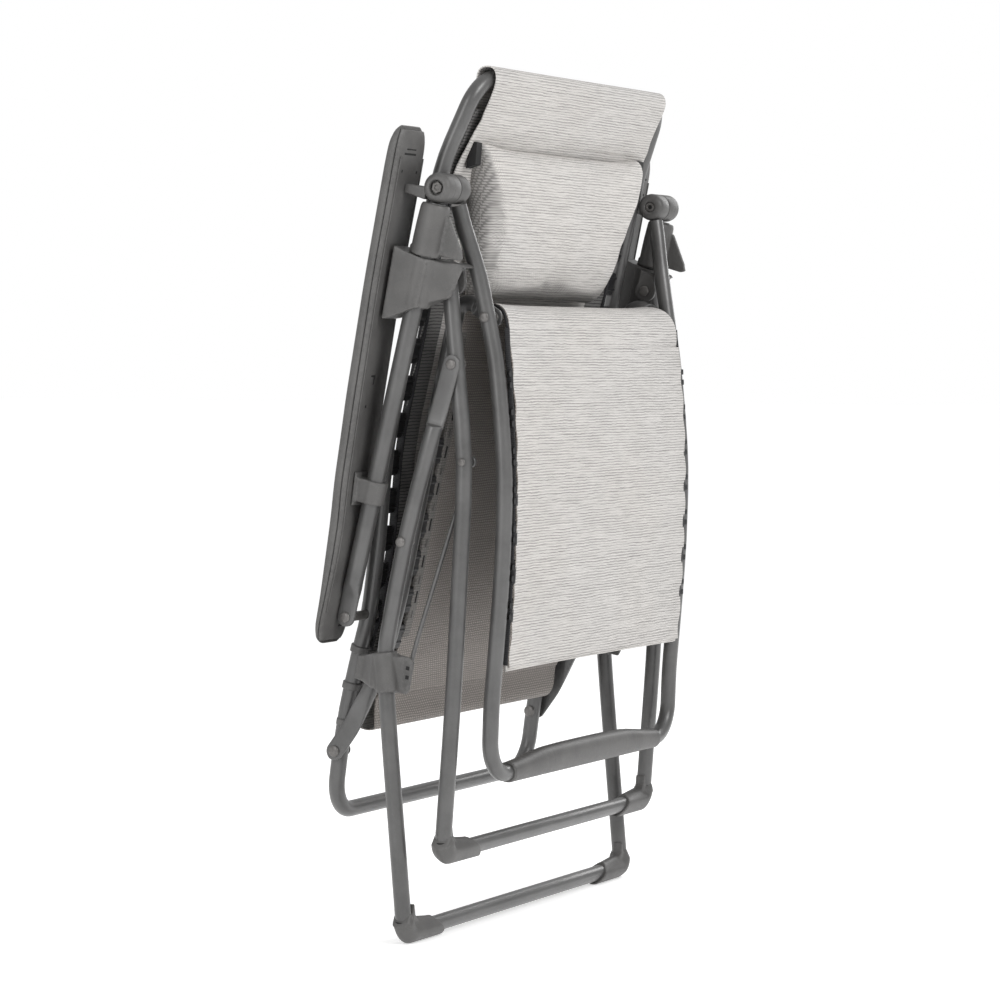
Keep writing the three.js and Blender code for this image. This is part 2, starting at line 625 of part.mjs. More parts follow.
put("back_lower_tube", backLowerTube(), paint);
put("back_upper_tube", backUpperTube(), paint);
pair("seat_tube", seatTube(), paint);
put("legrest_tube", legrestTube(), paint);
put("footrest_grip", footrestGrip(), plastic);
put("front_leg_tube", frontLegTube(), paint);
put("rear_leg_tube", rearLegTube(), paint);
pair("front_foot_cap", footCap(FRONT_BAR, W_FRONT_LEG, FRONT_LEG_LOW), plastic);
pair("rear_foot_cap", footCap(REAR_BAR, W_REAR_LEG, REAR_LEG_LOW), plastic);
for (const [name, pivot, profile] of FASTENERS) pair(name, turned(pivot, profile, 8), steel);
pair("stay_rod", stayRod(), steel);
pair("stay_collar", stayCollar(), black);
pair("armrest_rail", armrestRail(), paint);
pair("armrest_shell", armrestShell(), plastic);
pair("armrest_base", armrestBase(), plastic);
pair("armrest_clip", armrestClip(), plastic);
pair("rail_end_fitting", railEndFitting(), plastic);
pair("pivot_bolt", pivotBolt(), steel);
pair("pivot_cap", pivotCap(), plastic);
pair("slider_bracket", sliderBracket(), plastic);
pair("lock_lever", lockLever(), plastic);
put("back_panel", backPanel(), cloth);
put("seat_panel", seatPanel(), cloth);
put("legrest_panel", legrestPanel(), cloth);
put("head_pillow", headPillow(), cloth);
put("head_pocket", headPocket(), cloth);
pair("back_clips", backClips(), black);
pair("seat_clips", seatClips(), black);
pair("legrest_clips", legrestClips(), black);

export default chair;
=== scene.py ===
"""A folding recliner, folded so that it stands upright on its front and rear leg bars.

Shapes are worked out in millimetres as (across, depth, height):
  across  positive towards the chair's right side, world -X
  depth   positive towards the front, world -Y
  height  world +Z, from the floor
Two-number places are (depth, height) in the side plane. A shape is a (vertices, faces) pair.
"""
import bpy, json, math
import numpy as np
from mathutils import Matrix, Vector
from mathutils.bvhtree import BVHTree

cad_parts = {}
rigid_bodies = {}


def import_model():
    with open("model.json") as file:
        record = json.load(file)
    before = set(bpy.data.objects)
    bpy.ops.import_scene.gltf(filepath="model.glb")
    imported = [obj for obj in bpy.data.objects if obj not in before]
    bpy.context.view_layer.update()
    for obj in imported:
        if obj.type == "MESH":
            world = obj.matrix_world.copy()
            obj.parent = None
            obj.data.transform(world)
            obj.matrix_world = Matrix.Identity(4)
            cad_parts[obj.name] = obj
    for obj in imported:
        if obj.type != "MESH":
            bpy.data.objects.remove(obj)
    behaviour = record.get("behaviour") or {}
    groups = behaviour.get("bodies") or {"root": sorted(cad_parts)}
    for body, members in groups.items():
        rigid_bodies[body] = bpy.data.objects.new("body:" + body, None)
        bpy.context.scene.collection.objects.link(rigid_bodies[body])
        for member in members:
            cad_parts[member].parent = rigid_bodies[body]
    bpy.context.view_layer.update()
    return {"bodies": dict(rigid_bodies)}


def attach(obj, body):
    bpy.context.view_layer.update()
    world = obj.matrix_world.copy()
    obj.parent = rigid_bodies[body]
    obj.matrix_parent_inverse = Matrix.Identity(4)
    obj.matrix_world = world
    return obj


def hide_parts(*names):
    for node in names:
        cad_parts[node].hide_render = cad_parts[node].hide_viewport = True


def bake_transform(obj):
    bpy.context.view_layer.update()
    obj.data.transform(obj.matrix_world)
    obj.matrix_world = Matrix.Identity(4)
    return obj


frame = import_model()
scene = bpy.context.scene

# ---------------------------------------------------------------- driving dimensions (mm)
DEPTH_ORIGIN = -10.1                    # world Y of depth 0
# joints of the frame
KNOB, KNEE, HIP, REAR = (46, 821), (75, 682), (-106.5, 203), (-68.5, 355)
SLIDE, APEX, PIN, STAY = (41, 719), (49, 631), (-6, 438), (59.8, 525)
ROD_END = (-5, 302)                     # lower end of the stay rod
REAR_LEG_BEND = (-29.7, 319)
# cross bars at the bottom of each bent tube
FRONT_BAR, REAR_BAR, LEGREST_BAR = (31.5, 99), (-6, 12.5), (75, 182)
RAIL_ACROSS, FRONT_ACROSS, REAR_ACROSS = 305, 271, 288
# tube sections: half size across, half size in the side plane, superellipse power
FLAT = (2.0, 10.3, 4.5)
RAIL_FLAT = (2.6, 10.3, 4.5)


# ---------------------------------------------------------------- shader building
class Shader:
    """A new material with a Principled surface, and short ways to add nodes to it."""

    def __init__(self, name, view_colour=None):
        self.material = bpy.data.materials.new(name)
        self.material.use_nodes = True
        if view_colour:
            self.material.diffuse_color = (*view_colour, 1)
        self.tree = self.material.node_tree
        self.tree.nodes.clear()
        self.output = self.node("OutputMaterial")
        self.surface = self.node("BsdfPrincipled")

    def fill(self, node, inputs):
        """Link sockets, and set numbers and RGB colours, on a node's inputs."""
        for key, value in inputs.items():
            if isinstance(value, bpy.types.NodeSocket):
                self.tree.links.new(value, node.inputs[key])
            elif isinstance(value, tuple):
                node.inputs[key].default_value = (*value, 1)
            else:
                node.inputs[key].default_value = value

    def node(self, kind, inputs=None, **settings):
        node = self.tree.nodes.new("ShaderNode" + kind)
        for key, value in settings.items():
            setattr(node, key, value)
        self.fill(node, inputs or {})
        return node

    def math(self, operation, *values):
        return self.node("Math", dict(enumerate(values)), operation=operation).outputs[0]

    def add(self, x, y):
        return self.math("ADD", x, y)

    def sub(self, x, y):
        return self.math("SUBTRACT", x, y)

    def mul(self, x, y):
        return self.math("MULTIPLY", x, y)

    def wave(self, value, pitch):
        """|sin|, one hump per pitch"""
        return self.math("ABSOLUTE", self.math("SINE", self.mul(value, math.pi / pitch)))

    def mix(self, factor, first, second):
        inputs = {0: factor, 6: first, 7: second}
        return self.node("Mix", inputs, data_type="RGBA").outputs[2]

    def ramp(self, value, low, high, to_low=0.0, to_high=1.0):
        """smooth step from to_low at low to to_high at high"""
        inputs = {0: value, 1: low, 2: high, 3: to_low, 4: to_high}
        return self.node("MapRange", inputs, interpolation_type="SMOOTHSTEP").outputs[0]

    def noise(self, vector, scale=1.0, detail=3.0, rough=0.55):
        inputs = {"Vector": vector, "Scale": scale, "Detail": detail, "Roughness": rough}
        return self.node("TexNoise", inputs).outputs["Fac"]

    def combine(self, x, y, z=0.0):
        return self.node("CombineXYZ", {0: x, 1: y, 2: z}).outputs[0]

    def split(self, vector):
        return self.node("SeparateXYZ", {0: vector}).outputs

    def object_place(self):
        return self.node("TexCoord").outputs["Object"]

    def normal(self):
        return self.node("NewGeometry").outputs["Normal"]

    def bevel(self, radius):
        return self.node("Bevel", {"Radius": radius}, samples=3).outputs[0]

    def bump(self, height, strength, distance, **normal):
        inputs = {"Height": height, "Strength": strength, "Distance": distance, **normal}
        return self.node("Bump", inputs).outputs[0]

    def finish(self, result=None):
        self.fill(self.output, {0: result or self.surface.outputs[0]})
        return self.material


def scaled(colour, factor, lift=0.0):
    return tuple(channel * factor + lift for channel in colour)


def hard_surface(name, base, rough, grain_scale, grain, wear, metallic=0.0, coat=0.0):
    """Painted tube or moulded plastic: fine grain, slow colour drift, lighter rubbed edges."""
    shader = Shader(name, base)
    mul, ramp = shader.mul, shader.ramp
    place = shader.object_place()
    slow = shader.noise(place, scale=22, detail=4)
    mid = shader.noise(place, scale=260, detail=4, rough=0.6)
    fine = shader.noise(place, scale=grain_scale, detail=5, rough=0.65)
    speck = shader.noise(place, scale=grain_scale * 0.55, detail=2, rough=0.5)
    # slow drift between a darker and a lighter tone, then pale specks
    drift = ramp(slow, low=0.3, high=0.7)
    colour = shader.mix(drift, scaled(base, 0.82), scaled(base, 1.16))
    specks = mul(ramp(speck, low=0.52, high=0.72), 0.22)
    colour = shader.mix(specks, colour, scaled(base, 1.7))
    # edges are where a wide bevel turns the normal away from the surface
    inputs = {0: shader.bevel(radius=0.012), 1: shader.normal()}
    facing = shader.node("VectorMath", inputs, operation="DOT_PRODUCT").outputs["Value"]
    patchy = mul(ramp(mid, low=0.42, high=0.62), wear)
    rubbed = mul(ramp(facing, low=0.97, high=0.86), patchy)
    colour = shader.mix(rubbed, colour, scaled(base, 2.0, lift=0.02))
    # roughness wavers around its value
    roughness = shader.add(mul(mid, 0.16), rough - 0.08)
    roughness = shader.add(roughness, mul(slow, 0.06))
    soft = shader.bevel(radius=0.0008)
    grained = shader.bump(fine, strength=grain, distance=0.0006, Normal=soft)
    uneven = shader.bump(mid, strength=grain * 0.5, distance=0.0015, Normal=grained)
    shader.fill(shader.surface, {
        "Base Color": colour, "Roughness": roughness, "Metallic": metallic,
        "Coat Weight": coat, "Coat Roughness": 0.35, "Normal": uneven})
    return shader.finish()


def mesh_fabric(name, light, line, period=0.0031, see=0.10, dotted=0.0, shaded_sides=False, band=0.0):
    """Woven mesh: wavering rows of thread over a pale net with small holes.
    UV is in metres, u across the chair and v along the cloth.
    period: row spacing; see: how much shows through; dotted: share of an open two-tone weave;
    shaded_sides: that weave laid on faces turned sideways and downwards, as painted shade; band:
    half width where the dark ribbed edge band starts, partly painted shade."""
    shader = Shader(name, light)
    add, sub, mul, ramp, mix = shader.add, shader.sub, shader.mul, shader.ramp, shader.mix
    absolute = lambda value: shader.math("ABSOLUTE", value)
    u, along = shader.split(shader.node("UVMap", uv_map="UVMap").outputs[0])[:2]
    place = shader.object_place()

    # the rows wander slowly and zigzag finely
    wander = shader.noise(shader.combine(mul(u, 21), mul(along, 60)), rough=0.6)
    zigzag = shader.noise(shader.combine(mul(u, 110), mul(along, 170)), detail=2, rough=0.6)
    wavy = add(along, mul(sub(wander, 0.5), 0.0034))
    wavy = add(wavy, mul(sub(zigzag, 0.5), 0.0014))

    def rows(pitch, gate_scale, seed, low, high, half):
        """threads of a half width (in pitches), broken along their length by noise"""
        count = shader.math("DIVIDE", wavy, pitch)
        row = shader.math("FLOOR", count)
        body = ramp(absolute(sub(sub(count, row), 0.5)), half, half * 0.2)
        gate = shader.noise(shader.combine(mul(u, gate_scale), mul(row, 3.71), seed), detail=2)
        return mul(body, ramp(gate, low, high, to_low=0.12))

    main = rows(period, gate_scale=19, seed=1.3, low=0.24, high=0.60, half=0.22)
    between = rows(period * 0.5, gate_scale=40, seed=9.1, low=0.42, high=0.64, half=0.30)
    sparse = rows(period * 2.6, gate_scale=8, seed=4.4, low=0.48, high=0.62, half=0.10)
    # weights of the three sets of rows, then their contrast
    lines = add(add(mul(main, 0.88), mul(between, 0.40)), mul(sparse, 0.22))
    lines = shader.math("MINIMUM", mul(lines, 0.80), 1.0)

    net_pitch = 0.0016
    net_across = ramp(shader.wave(u, net_pitch), low=0.55, high=0.95)
    net_along = ramp(shader.wave(wavy, net_pitch * 1.05), low=0.5, high=0.95)
    hole = mul(net_across, net_along)

    # pale ground with blotches and a warm drift, darker in the holes, then the threads
    blotch = ramp(shader.noise(place, scale=18, detail=4), low=0.3, high=0.7)
    warm = ramp(shader.noise(place, scale=7, detail=2), low=0.4, high=0.65)
    warm_light = tuple(c * k for c, k in zip(light, (1.0, 0.975, 0.94)))
    ground = mix(blotch, scaled(light, 0.965), scaled(light, 1.02))
    ground = mix(mul(warm, 0.25), ground, warm_light)
    ground = mix(mul(hole, 0.34), ground, scaled(line, 0.6))
    colour = mix(lines, ground, line)

    # open two-tone weave: every other row of dots is shifted by half a pitch
    dot_along, dot_across = 0.0029, 0.0052
    dot_row = shader.math("FLOOR", shader.math("DIVIDE", wavy, dot_along))
    shift = mul(shader.math("MODULO", dot_row, 2.0), dot_across * 0.5)
    dot = mul(ramp(shader.wave(add(u, shift), dot_across), low=0.25, high=0.80),
              ramp(shader.wave(wavy, dot_along), low=0.30, high=0.85))
    has_dots = dotted > 0 or shaded_sides
    if has_dots:
        share = dotted
        if shaded_sides:
            # painted shade: faces turned sideways (across the chair) or downwards get the darker
            # dotted weave
            normal = shader.split(shader.normal())
            side = ramp(absolute(normal[0]), low=0.50, high=0.93)
            under = ramp(mul(normal[2], -1.0), low=0.30, high=0.75)
            share = mul(shader.math("MINIMUM", add(add(side, under), dotted), 1.0), 0.85)
        colour = mix(share, colour, mix(dot, scaled(light, 0.30), scaled(light, 0.72)))
    # dark ribbed band along both side edges: partly the cloth's edge band, partly painted shade
    # for the narrow shaded gap between the back and seat slings
    if band > 0:
        ribs = ramp(shader.wave(wavy, 0.0037), low=0.75, high=0.25)
        edge_band_shade = mix(ribs, (0.16, 0.155, 0.15), (0.03, 0.03, 0.03))
        colour = mix(ramp(absolute(u), band, band + 0.001), colour, edge_band_shade)

    height = sub(sub(1.0, mul(hole, 0.8)), mul(lines, 0.6))
    height = add(height, mul(dot, 0.5 * has_dots))
    shader.fill(shader.surface, {
        "Base Color": colour, "Roughness": 0.74, "Sheen Weight": 0.10, "Sheen Roughness": 0.5,
        "Normal": shader.bump(height, strength=0.40, distance=0.0008)})
    if see == 0:
        return shader.finish()
    clear = shader.node("BsdfTransparent").outputs[0]
    factor = add(mul(hole, see * 1.8), see * 0.2)
    cloth = shader.surface.outputs[0]
    return shader.finish(shader.node("MixShader", {0: factor, 1: cloth, 2: clear}).outputs[0])


def webbing(name, base, rib=0.0022):
    """Ribbed tape or twisted thread; ribs are stacked in height, spaced in metres."""
    shader = Shader(name, base)
    place = shader.object_place()
    ribs = shader.wave(shader.split(place)[2], rib)
    fuzz = shader.noise(place, scale=900, detail=4)
    drift = shader.noise(place, scale=40)
    colour = shader.mix(ribs, scaled(base, 0.45), base)
    colour = shader.mix(shader.mul(drift, 0.4), colour, scaled(base, 1.5))
    height = shader.add(ribs, shader.mul(fuzz, 0.6))
    shader.fill(shader.surface, {
        "Base Color": colour, "Roughness": 0.85,
        "Normal": shader.bump(height, strength=0.6, distance=0.0007)})
    return shader.finish()


PAINT = hard_surface("frame_paint", (0.084, 0.083, 0.082), rough=0.33, metallic=0.30,
                     grain_scale=2600, grain=0.10, coat=0.30, wear=0.18)
PLASTIC = hard_surface("grey_plastic", (0.080, 0.078, 0.076), rough=0.46,
                       grain_scale=1700, grain=0.16, wear=0.30)
ARM = hard_surface("armrest_plastic", (0.076, 0.074, 0.072), rough=0.45,
                   grain_scale=1300, grain=0.22, wear=0.30)
FASTENER = hard_surface("fastener_paint", (0.105, 0.10, 0.096), rough=0.36, metallic=0.3,
                        grain_scale=2400, grain=0.06, coat=0.15, wear=0.5)
BLACK = hard_surface("black_plastic", (0.012, 0.012, 0.013), rough=0.46,
                     grain_scale=1800, grain=0.14, wear=0.25)
# painted shade: near-black pieces put in holes, sockets, slots and gaps where only shade would
# show
HOLE_SHADE = hard_surface("painted_hole_shade", (0.006, 0.006, 0.006), rough=0.7,
                    grain_scale=1800, grain=0.05, wear=0.0)
PALE, GREY_THREAD = (0.60, 0.58, 0.56), (0.105, 0.10, 0.095)
CLOTH = mesh_fabric("mesh_fabric", PALE, GREY_THREAD)
CLOTH_UNDER = mesh_fabric("mesh_fabric_under", (0.44, 0.395, 0.36), (0.12, 0.11, 0.10),
                          see=0.05, dotted=0.85)
# the back sling's dark ribbed edge band is partly painted shade
CLOTH_BACK = mesh_fabric("mesh_fabric_back", PALE, GREY_THREAD, see=0.04, band=0.184)
# painted shade: the pillow's sideways and downward faces get the darker dotted weave
CLOTH_PILLOW = mesh_fabric("mesh_fabric_pillow", PALE, GREY_THREAD, see=0.0, shaded_sides=True)
HEM = mesh_fabric("mesh_fabric_hem", (0.64, 0.62, 0.595), (0.20, 0.19, 0.18),
                  period=0.0026, see=0.0)
# darker copy of the hem: the cloth's brownish dotted under-face, darkened further as painted shade
HEM_UNDER_SHADED = mesh_fabric("mesh_fabric_hem_under_shaded", (0.26, 0.245, 0.23), (0.07, 0.07, 0.07),
                        see=0.0, dotted=0.6)
RIBBON = webbing("black_webbing", (0.03, 0.03, 0.032))
THREAD = webbing("stitch_thread", (0.50, 0.48, 0.45), rib=0.0009)
webbing("stitch_thread_dark", (0.05, 0.05, 0.05), rib=0.0009)   # spare colour, on no piece


# ---------------------------------------------------------------- places and directions
def at(across, depth, height):
    """world place in mm"""
    return np.array([-across, DEPTH_ORIGIN - depth, height], float)


def unit(vector):
    return vector / np.linalg.norm(vector)


def run_along(points):
    """distance along a polyline at each of its points"""
    steps = np.linalg.norm(np.diff(np.asarray(points, float), axis=0), axis=1)
    return np.concatenate([[0], np.cumsum(steps)])


def offset(spot, start, end, lift):
    """move a side-plane spot square to start-end; a line that runs up is lifted forwards"""
    along = unit((end - start)[:2])
    return spot[0] + along[1] * lift, spot[1] - along[0] * lift


def place_on(line, run, lift=0.0):
    """side-plane place at a distance along a line, lifted off it"""
    points, runs = np.array(line, float), run_along(line)
    i = max(1, min(len(points) - 1, int(np.searchsorted(runs, run))))
    start, end = points[i - 1], points[i]
    return offset(start + unit(end - start) * (run - runs[i - 1]), start, end, lift)


def line_frame(origin, direction):
    """turns (along, off) from an origin into a side-plane place"""
    def place(along, off):
        return (origin[0] + direction[0] * along + direction[1] * off,
                origin[1] + direction[1] * along - direction[0] * off)
    return place


RAIL_DIRECTION = unit(np.subtract(KNOB, REAR))
on_rail = line_frame(REAR, RAIL_DIRECTION)
on_leg = line_frame((-29.7, 296), unit(np.subtract(PIN, REAR_LEG_BEND)))


# ---------------------------------------------------------------- shapes
def outward(verts, faces):
    """turn all faces over if they enclose a negative volume"""
    volume = 0.0
    for face in faces:
        for k in range(1, len(face) - 1):
            normal = np.cross(verts[face[k]], verts[face[k + 1]])
            volume += np.dot(verts[face[0]], normal)
    return [tuple(reversed(face)) if volume < 0 else tuple(face) for face in faces]


def loft(rings):
    count = len(rings[0])
    verts = np.array([point for ring in rings for point in ring])
    faces = []
    for i in range(len(rings) - 1):
        for k in range(count):
            here, after = i * count + k, i * count + (k + 1) % count
            faces.append((here, after, after + count, here + count))
    faces.append(tuple(reversed(range(count))))
    faces.append(tuple((len(rings) - 1) * count + k for k in range(count)))
    return verts, outward(verts, faces)


def wedge(start, start_outline, end, end_outline, place):
    """solid between two outlines at two places across"""
    return loft([[at(start, *place(*p)) for p in start_outline],
                 [at(end, *place(*p)) for p in end_outline]])


def prism(outline, start, end, place=lambda depth, height: (depth, height)):
    """side-plane outline drawn out across the chair"""
    count = len(outline)
    verts = np.array([at(across, *place(*p)) for across in (start, end) for p in outline])
    faces = [tuple(range(count)), tuple(reversed(range(count, 2 * count)))]
    for k in range(count):
        after = (k + 1) % count
        faces.append((after, k, count + k, count + after))
    return verts, outward(verts, faces)


def turned(centre, profile, sides=40, spin=0.0):
    """turned about an axis across the chair; profile rows are (across, radius)"""
    rings = []
    for across, radius in profile:
        angles = [k / sides * 2 * math.pi + spin for k in range(sides)]
        rings.append([at(across, centre[0] + radius * math.cos(angle),
                         centre[1] + radius * math.sin(angle)) for angle in angles])
    return loft(rings)


def turned_on_rail(profile, sides=40):
    """turned about the armrest rail; profile rows are (along, radius)"""
    rings = []
    for along, radius in profile:
        ring = []
        for k in range(sides):
            angle = (k + 0.5) / sides * 2 * math.pi
            place = on_rail(along, radius * math.cos(angle))
            ring.append(at(RAIL_ACROSS + radius * math.sin(angle), *place))
        rings.append(ring)
    return loft(rings)


def gather(shapes):
    verts, faces, count = [], [], 0
    for points, sides in shapes:
        verts.append(points)
        faces += [tuple(i + count for i in face) for face in sides]
        count += len(points)
    return np.concatenate(verts), faces


def mirror(shape):
    verts = shape[0].copy()
    verts[:, 0] *= -1
    return verts, [tuple(reversed(face)) for face in shape[1]]


def both(stations):
    """a path on the right side, carried on across and up the left side"""
    return list(stations) + [(-s[0], *s[1:]) for s in reversed(stations)]


def route(stations, step, share=0.42):
    """Round the corners of a path, by a stated radius or by a share of the free length.
    Stations are (across, depth, height[, section[, radius]]); step is in degrees."""
    points = [at(*station[:3]) for station in stations]
    sections = [station[3] if len(station) > 3 else None for station in stations]
    radii = [station[4] if len(station) > 4 else 0 for station in stations]
    last = len(points) - 1
    used = [0.0] * len(points)          # length a corner takes from each leg

    def half_angle(back, ahead):
        return math.acos(max(-1, min(1, float(np.dot(back, ahead))))) / 2

    for i in range(1, last):
        if radii[i]:
            back, ahead = unit(points[i - 1] - points[i]), unit(points[i + 1] - points[i])
            used[i] = radii[i] / math.tan(half_angle(back, ahead))
    path = []
    for i, point in enumerate(points):
        if i in (0, last):
            path.append((point, sections[i]))
            continue
        back, ahead = points[i - 1] - point, points[i + 1] - point
        back_length, ahead_length = np.linalg.norm(back), np.linalg.norm(ahead)
        back, ahead = back / back_length, ahead / ahead_length
        half = half_angle(back, ahead)
        if math.pi / 2 - half < 0.004:  # nearly straight
            path.append((point, sections[i]))
            continue
        room = min(back_length - used[i - 1], ahead_length - used[i + 1])
        cut = used[i] or share * room
        radius = cut * math.tan(half)
        centre = point + unit(back + ahead) * (radius / math.sin(half))
        start, end = point + back * cut - centre, point + ahead * cut - centre
        turn = math.pi - 2 * half
        steps = max(2, int(math.degrees(turn) / step) + 1)
        sideways = np.cross(unit(np.cross(start, end)), start)
        for k in range(steps + 1):
            angle = turn * k / steps
            spoke = start * math.cos(angle) + sideways * math.sin(angle)
            path.append((centre + spoke, sections[i]))
    return path


def squared(value, power):
    """a cosine or sine bent towards a superellipse"""
    return math.copysign(abs(value) ** power, value)


def tube(stations, section=(9, 9, 2), sides=28, ref=(1, 0, 0), nose=(False, False), step=5.0):
    """Solid bar along a path. A section is (half size along ref, half size square to it,
    superellipse power) and eases from station to station; nose rounds the flattened ends."""
    points, sections = [], []
    for i, (point, own) in enumerate(route(stations, step)):
        own = own or section
        if i and sections[-1] != own:
            before, was = points[-1], sections[-1]
            for k in range(1, 10):
                part = k / 10
                ease = part * part * (3 - 2 * part)
                points.append(before + (point - before) * part)
                sections.append(tuple(x + (y - x) * ease for x, y in zip(was, own)))
        if not i or np.linalg.norm(point - points[-1]) > 0.05:
            points.append(point)
            sections.append(own)
    tangents = []
    for i in range(len(points)):
        tangent = np.zeros(3)
        if i:
            tangent += unit(points[i] - points[i - 1])
        if i + 1 < len(points):
            tangent += unit(points[i + 1] - points[i])
        tangents.append(unit(tangent))
    for end, sign in ((0, -1), (1, 1)):
        if not nose[end]:
            continue
        tip, along, (wide, thick, power) = points[-end], tangents[-end], sections[-end]
        for angle in np.linspace(0.0, 1.5, 8)[1:]:
            spot = end * len(points)
            points.insert(spot, tip + sign * along * thick * math.sin(angle))
            sections.insert(spot, (wide, max(0.3, thick * math.cos(angle)), power))
            tangents.insert(spot, along)
    first = np.array(ref, float)
    rings = []
    for point, (wide, thick, power), tangent in zip(points, sections, tangents):
        first = unit(first - np.dot(first, tangent) * tangent)
        second = np.cross(tangent, first)
        ring = []
        for k in range(sides):
            angle = (k + 0.5) / sides * 2 * math.pi
            ring.append(point + first * wide * squared(math.cos(angle), 2.0 / power)
                        + second * thick * squared(math.sin(angle), 2.0 / power))
        rings.append(ring)
    return loft(rings)


# ---------------------------------------------------------------- objects
def set_uv(mesh, vertex_uv):
    layer = mesh.uv_layers.new(name="UVMap")
    corners = np.zeros(len(mesh.loops), np.int32)
    mesh.loops.foreach_get("vertex_index", corners)
    layer.data.foreach_set("uv", np.asarray(vertex_uv, np.float32)[corners].ravel())


def read_points(mesh):
    flat = np.zeros(len(mesh.vertices) * 3, np.float32)
    mesh.vertices.foreach_get("co", flat)
    return flat.reshape(-1, 3)


def write_points(mesh, points):
    mesh.vertices.foreach_set("co", points.astype(np.float32).ravel())


def planar_uv(piece):
    points = read_points(piece.data)
    set_uv(piece.data, np.stack([-points[:, 0] - 0.8 * points[:, 1], points[:, 2]], 1))


def new_object(name, data):
    piece = bpy.data.objects.new(name, data)
    scene.collection.objects.link(piece)
    return piece


def mesh_obj(name, shape, material, sharp=35, uv=None):
    mesh = bpy.data.meshes.new(name)
    verts = np.asarray(shape[0], float) / 1000.0
    mesh.from_pydata([tuple(v) for v in verts], [], [tuple(int(i) for i in f) for f in shape[1]])
    mesh.update()
    piece = new_object(name, mesh)
    mesh.materials.append(material)
    for face in mesh.polygons:
        face.use_smooth = True
    if sharp:
        mesh.set_sharp_from_angle(angle=math.radians(sharp))
    if uv is not None:
        set_uv(mesh, uv)
    return piece


def evaluated_mesh(piece):
    depsgraph = bpy.context.evaluated_depsgraph_get()
    return bpy.data.meshes.new_from_object(piece.evaluated_get(depsgraph))


def apply_modifiers(piece):
    mesh = evaluated_mesh(piece)
    piece.modifiers.clear()
    piece.data = mesh
    return mesh


def reskin(mesh, material):
    mesh.materials.clear()
    mesh.materials.append(material)
    for face in mesh.polygons:
        face.use_smooth = True


def put(piece, body, node=None):
    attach(piece, body)
    if node:
        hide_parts(node)


def put_on_side(piece, side, body, node):
    """a body that is not shared by both sides takes the side's name"""
    own_body = body if body in frame["bodies"] else f"{body}_{side}"
    put(piece, own_body, f"{node}_{side}" if node else None)


def single(name, shape, material, body, node, sharp=35):
    put(mesh_obj(name, shape, material, sharp), body, node)


def sided(name, shape, material, body, node=None, sharp=35):
    """a right-hand piece and its mirrored twin"""
    pair = []
    for side, twin in (("right", shape), ("left", mirror(shape))):
        piece = mesh_obj(f"{name}_{side}", twin, material, sharp)
        put_on_side(piece, side, body, node)
        pair.append(piece)
    return pair


def mirrored_obj(piece, name):
    mesh = piece.data.copy()
    points = read_points(mesh)
    points[:, 0] *= -1
    write_points(mesh, points)
    mesh.flip_normals()
    return new_object(name, mesh)


def fused(name, shapes, body, node, voxel=0.0010, smooth=4):
    """moulded pair: overlapping closed shapes melted into one skin with soft edges"""
    right = mesh_obj(f"{name}_right", gather(shapes), PLASTIC, sharp=None)
    remesh = right.modifiers.new("r", "REMESH")
    remesh.mode = "VOXEL"
    remesh.voxel_size = voxel
    remesh.use_smooth_shade = True
    soften = right.modifiers.new("s", "SMOOTH")
    soften.factor, soften.iterations = 0.5, smooth
    reskin(apply_modifiers(right), PLASTIC)
    left = mirrored_obj(right, f"{name}_left")
    put_on_side(right, "right", body, node)
    put_on_side(left, "left", body, node)


# ---------------------------------------------------------------- frame tubes
# paths: across, depth, height[, section[, corner radius]]
back_lower_path = [
    (256.8, -59.9, 398.2), (252, *REAR), (250, -81, 315), (249, -98, 250), (248, -107, 200),
    (248, -116, 133, None, 40)]
single("tube_back_lower", tube(both(back_lower_path), sides=32), PAINT,
       "back", "back_lower_tube")

back_upper_path = [
    (256.8, -59.9, 398.4), (262, -52, 437), (262, -42.5, 541), (262, -22, 631), (262, 20, 821),
    (259, 30, 858), (246, 66, 945, None, 42)]
single("tube_back_upper", tube(both(back_upper_path), sides=32), PAINT,
       "back", "back_upper_tube")

seat_path = [
    (261, *HIP, FLAT), (261, -96, 217, FLAT), (261, -87, 229, FLAT), (262, -50, 295),
    (262, -29.8, 357), (260, -12.4, 437), (247, 7.5, 556), (234, 17.6, 631), (231, 25.7, 673),
    (231, 34, 707, None, 16), (231, 56, 693.5, (2.6, 10.5, 4)), (231, *KNEE, FLAT)]
sided("tube_seat", tube(seat_path, sides=32, nose=(True, True)), PAINT,
      "seat", "seat_tube")

legrest_path = [
    (267.6, 49.8, 803.4), (264, 54.8, 779), (258, 59.6, 758), (251, 66.8, 727), (247, *KNEE),
    (244, 83.5, 636), (244, 90.2, 570), (244, 94.3, 505), (244, 91.9, 418), (244, 84.7, 331),
    (244, 78, 262), (244, *LEGREST_BAR, None, 40)]
single("tube_legrest", tube(both(legrest_path), sides=32), PAINT,
       "legrest", "legrest_tube")

front_path = [
    (FRONT_ACROSS, 40.6, 725.0), (FRONT_ACROSS, *SLIDE), (FRONT_ACROSS, *APEX),
    (FRONT_ACROSS, *STAY), (FRONT_ACROSS, 51.3, 375), (FRONT_ACROSS, 45, 267),
    (FRONT_ACROSS, *FRONT_BAR, None, 22)]
single("tube_front_leg", tube(both(front_path), sides=32), PAINT,
       "front_legs", "front_leg_tube")

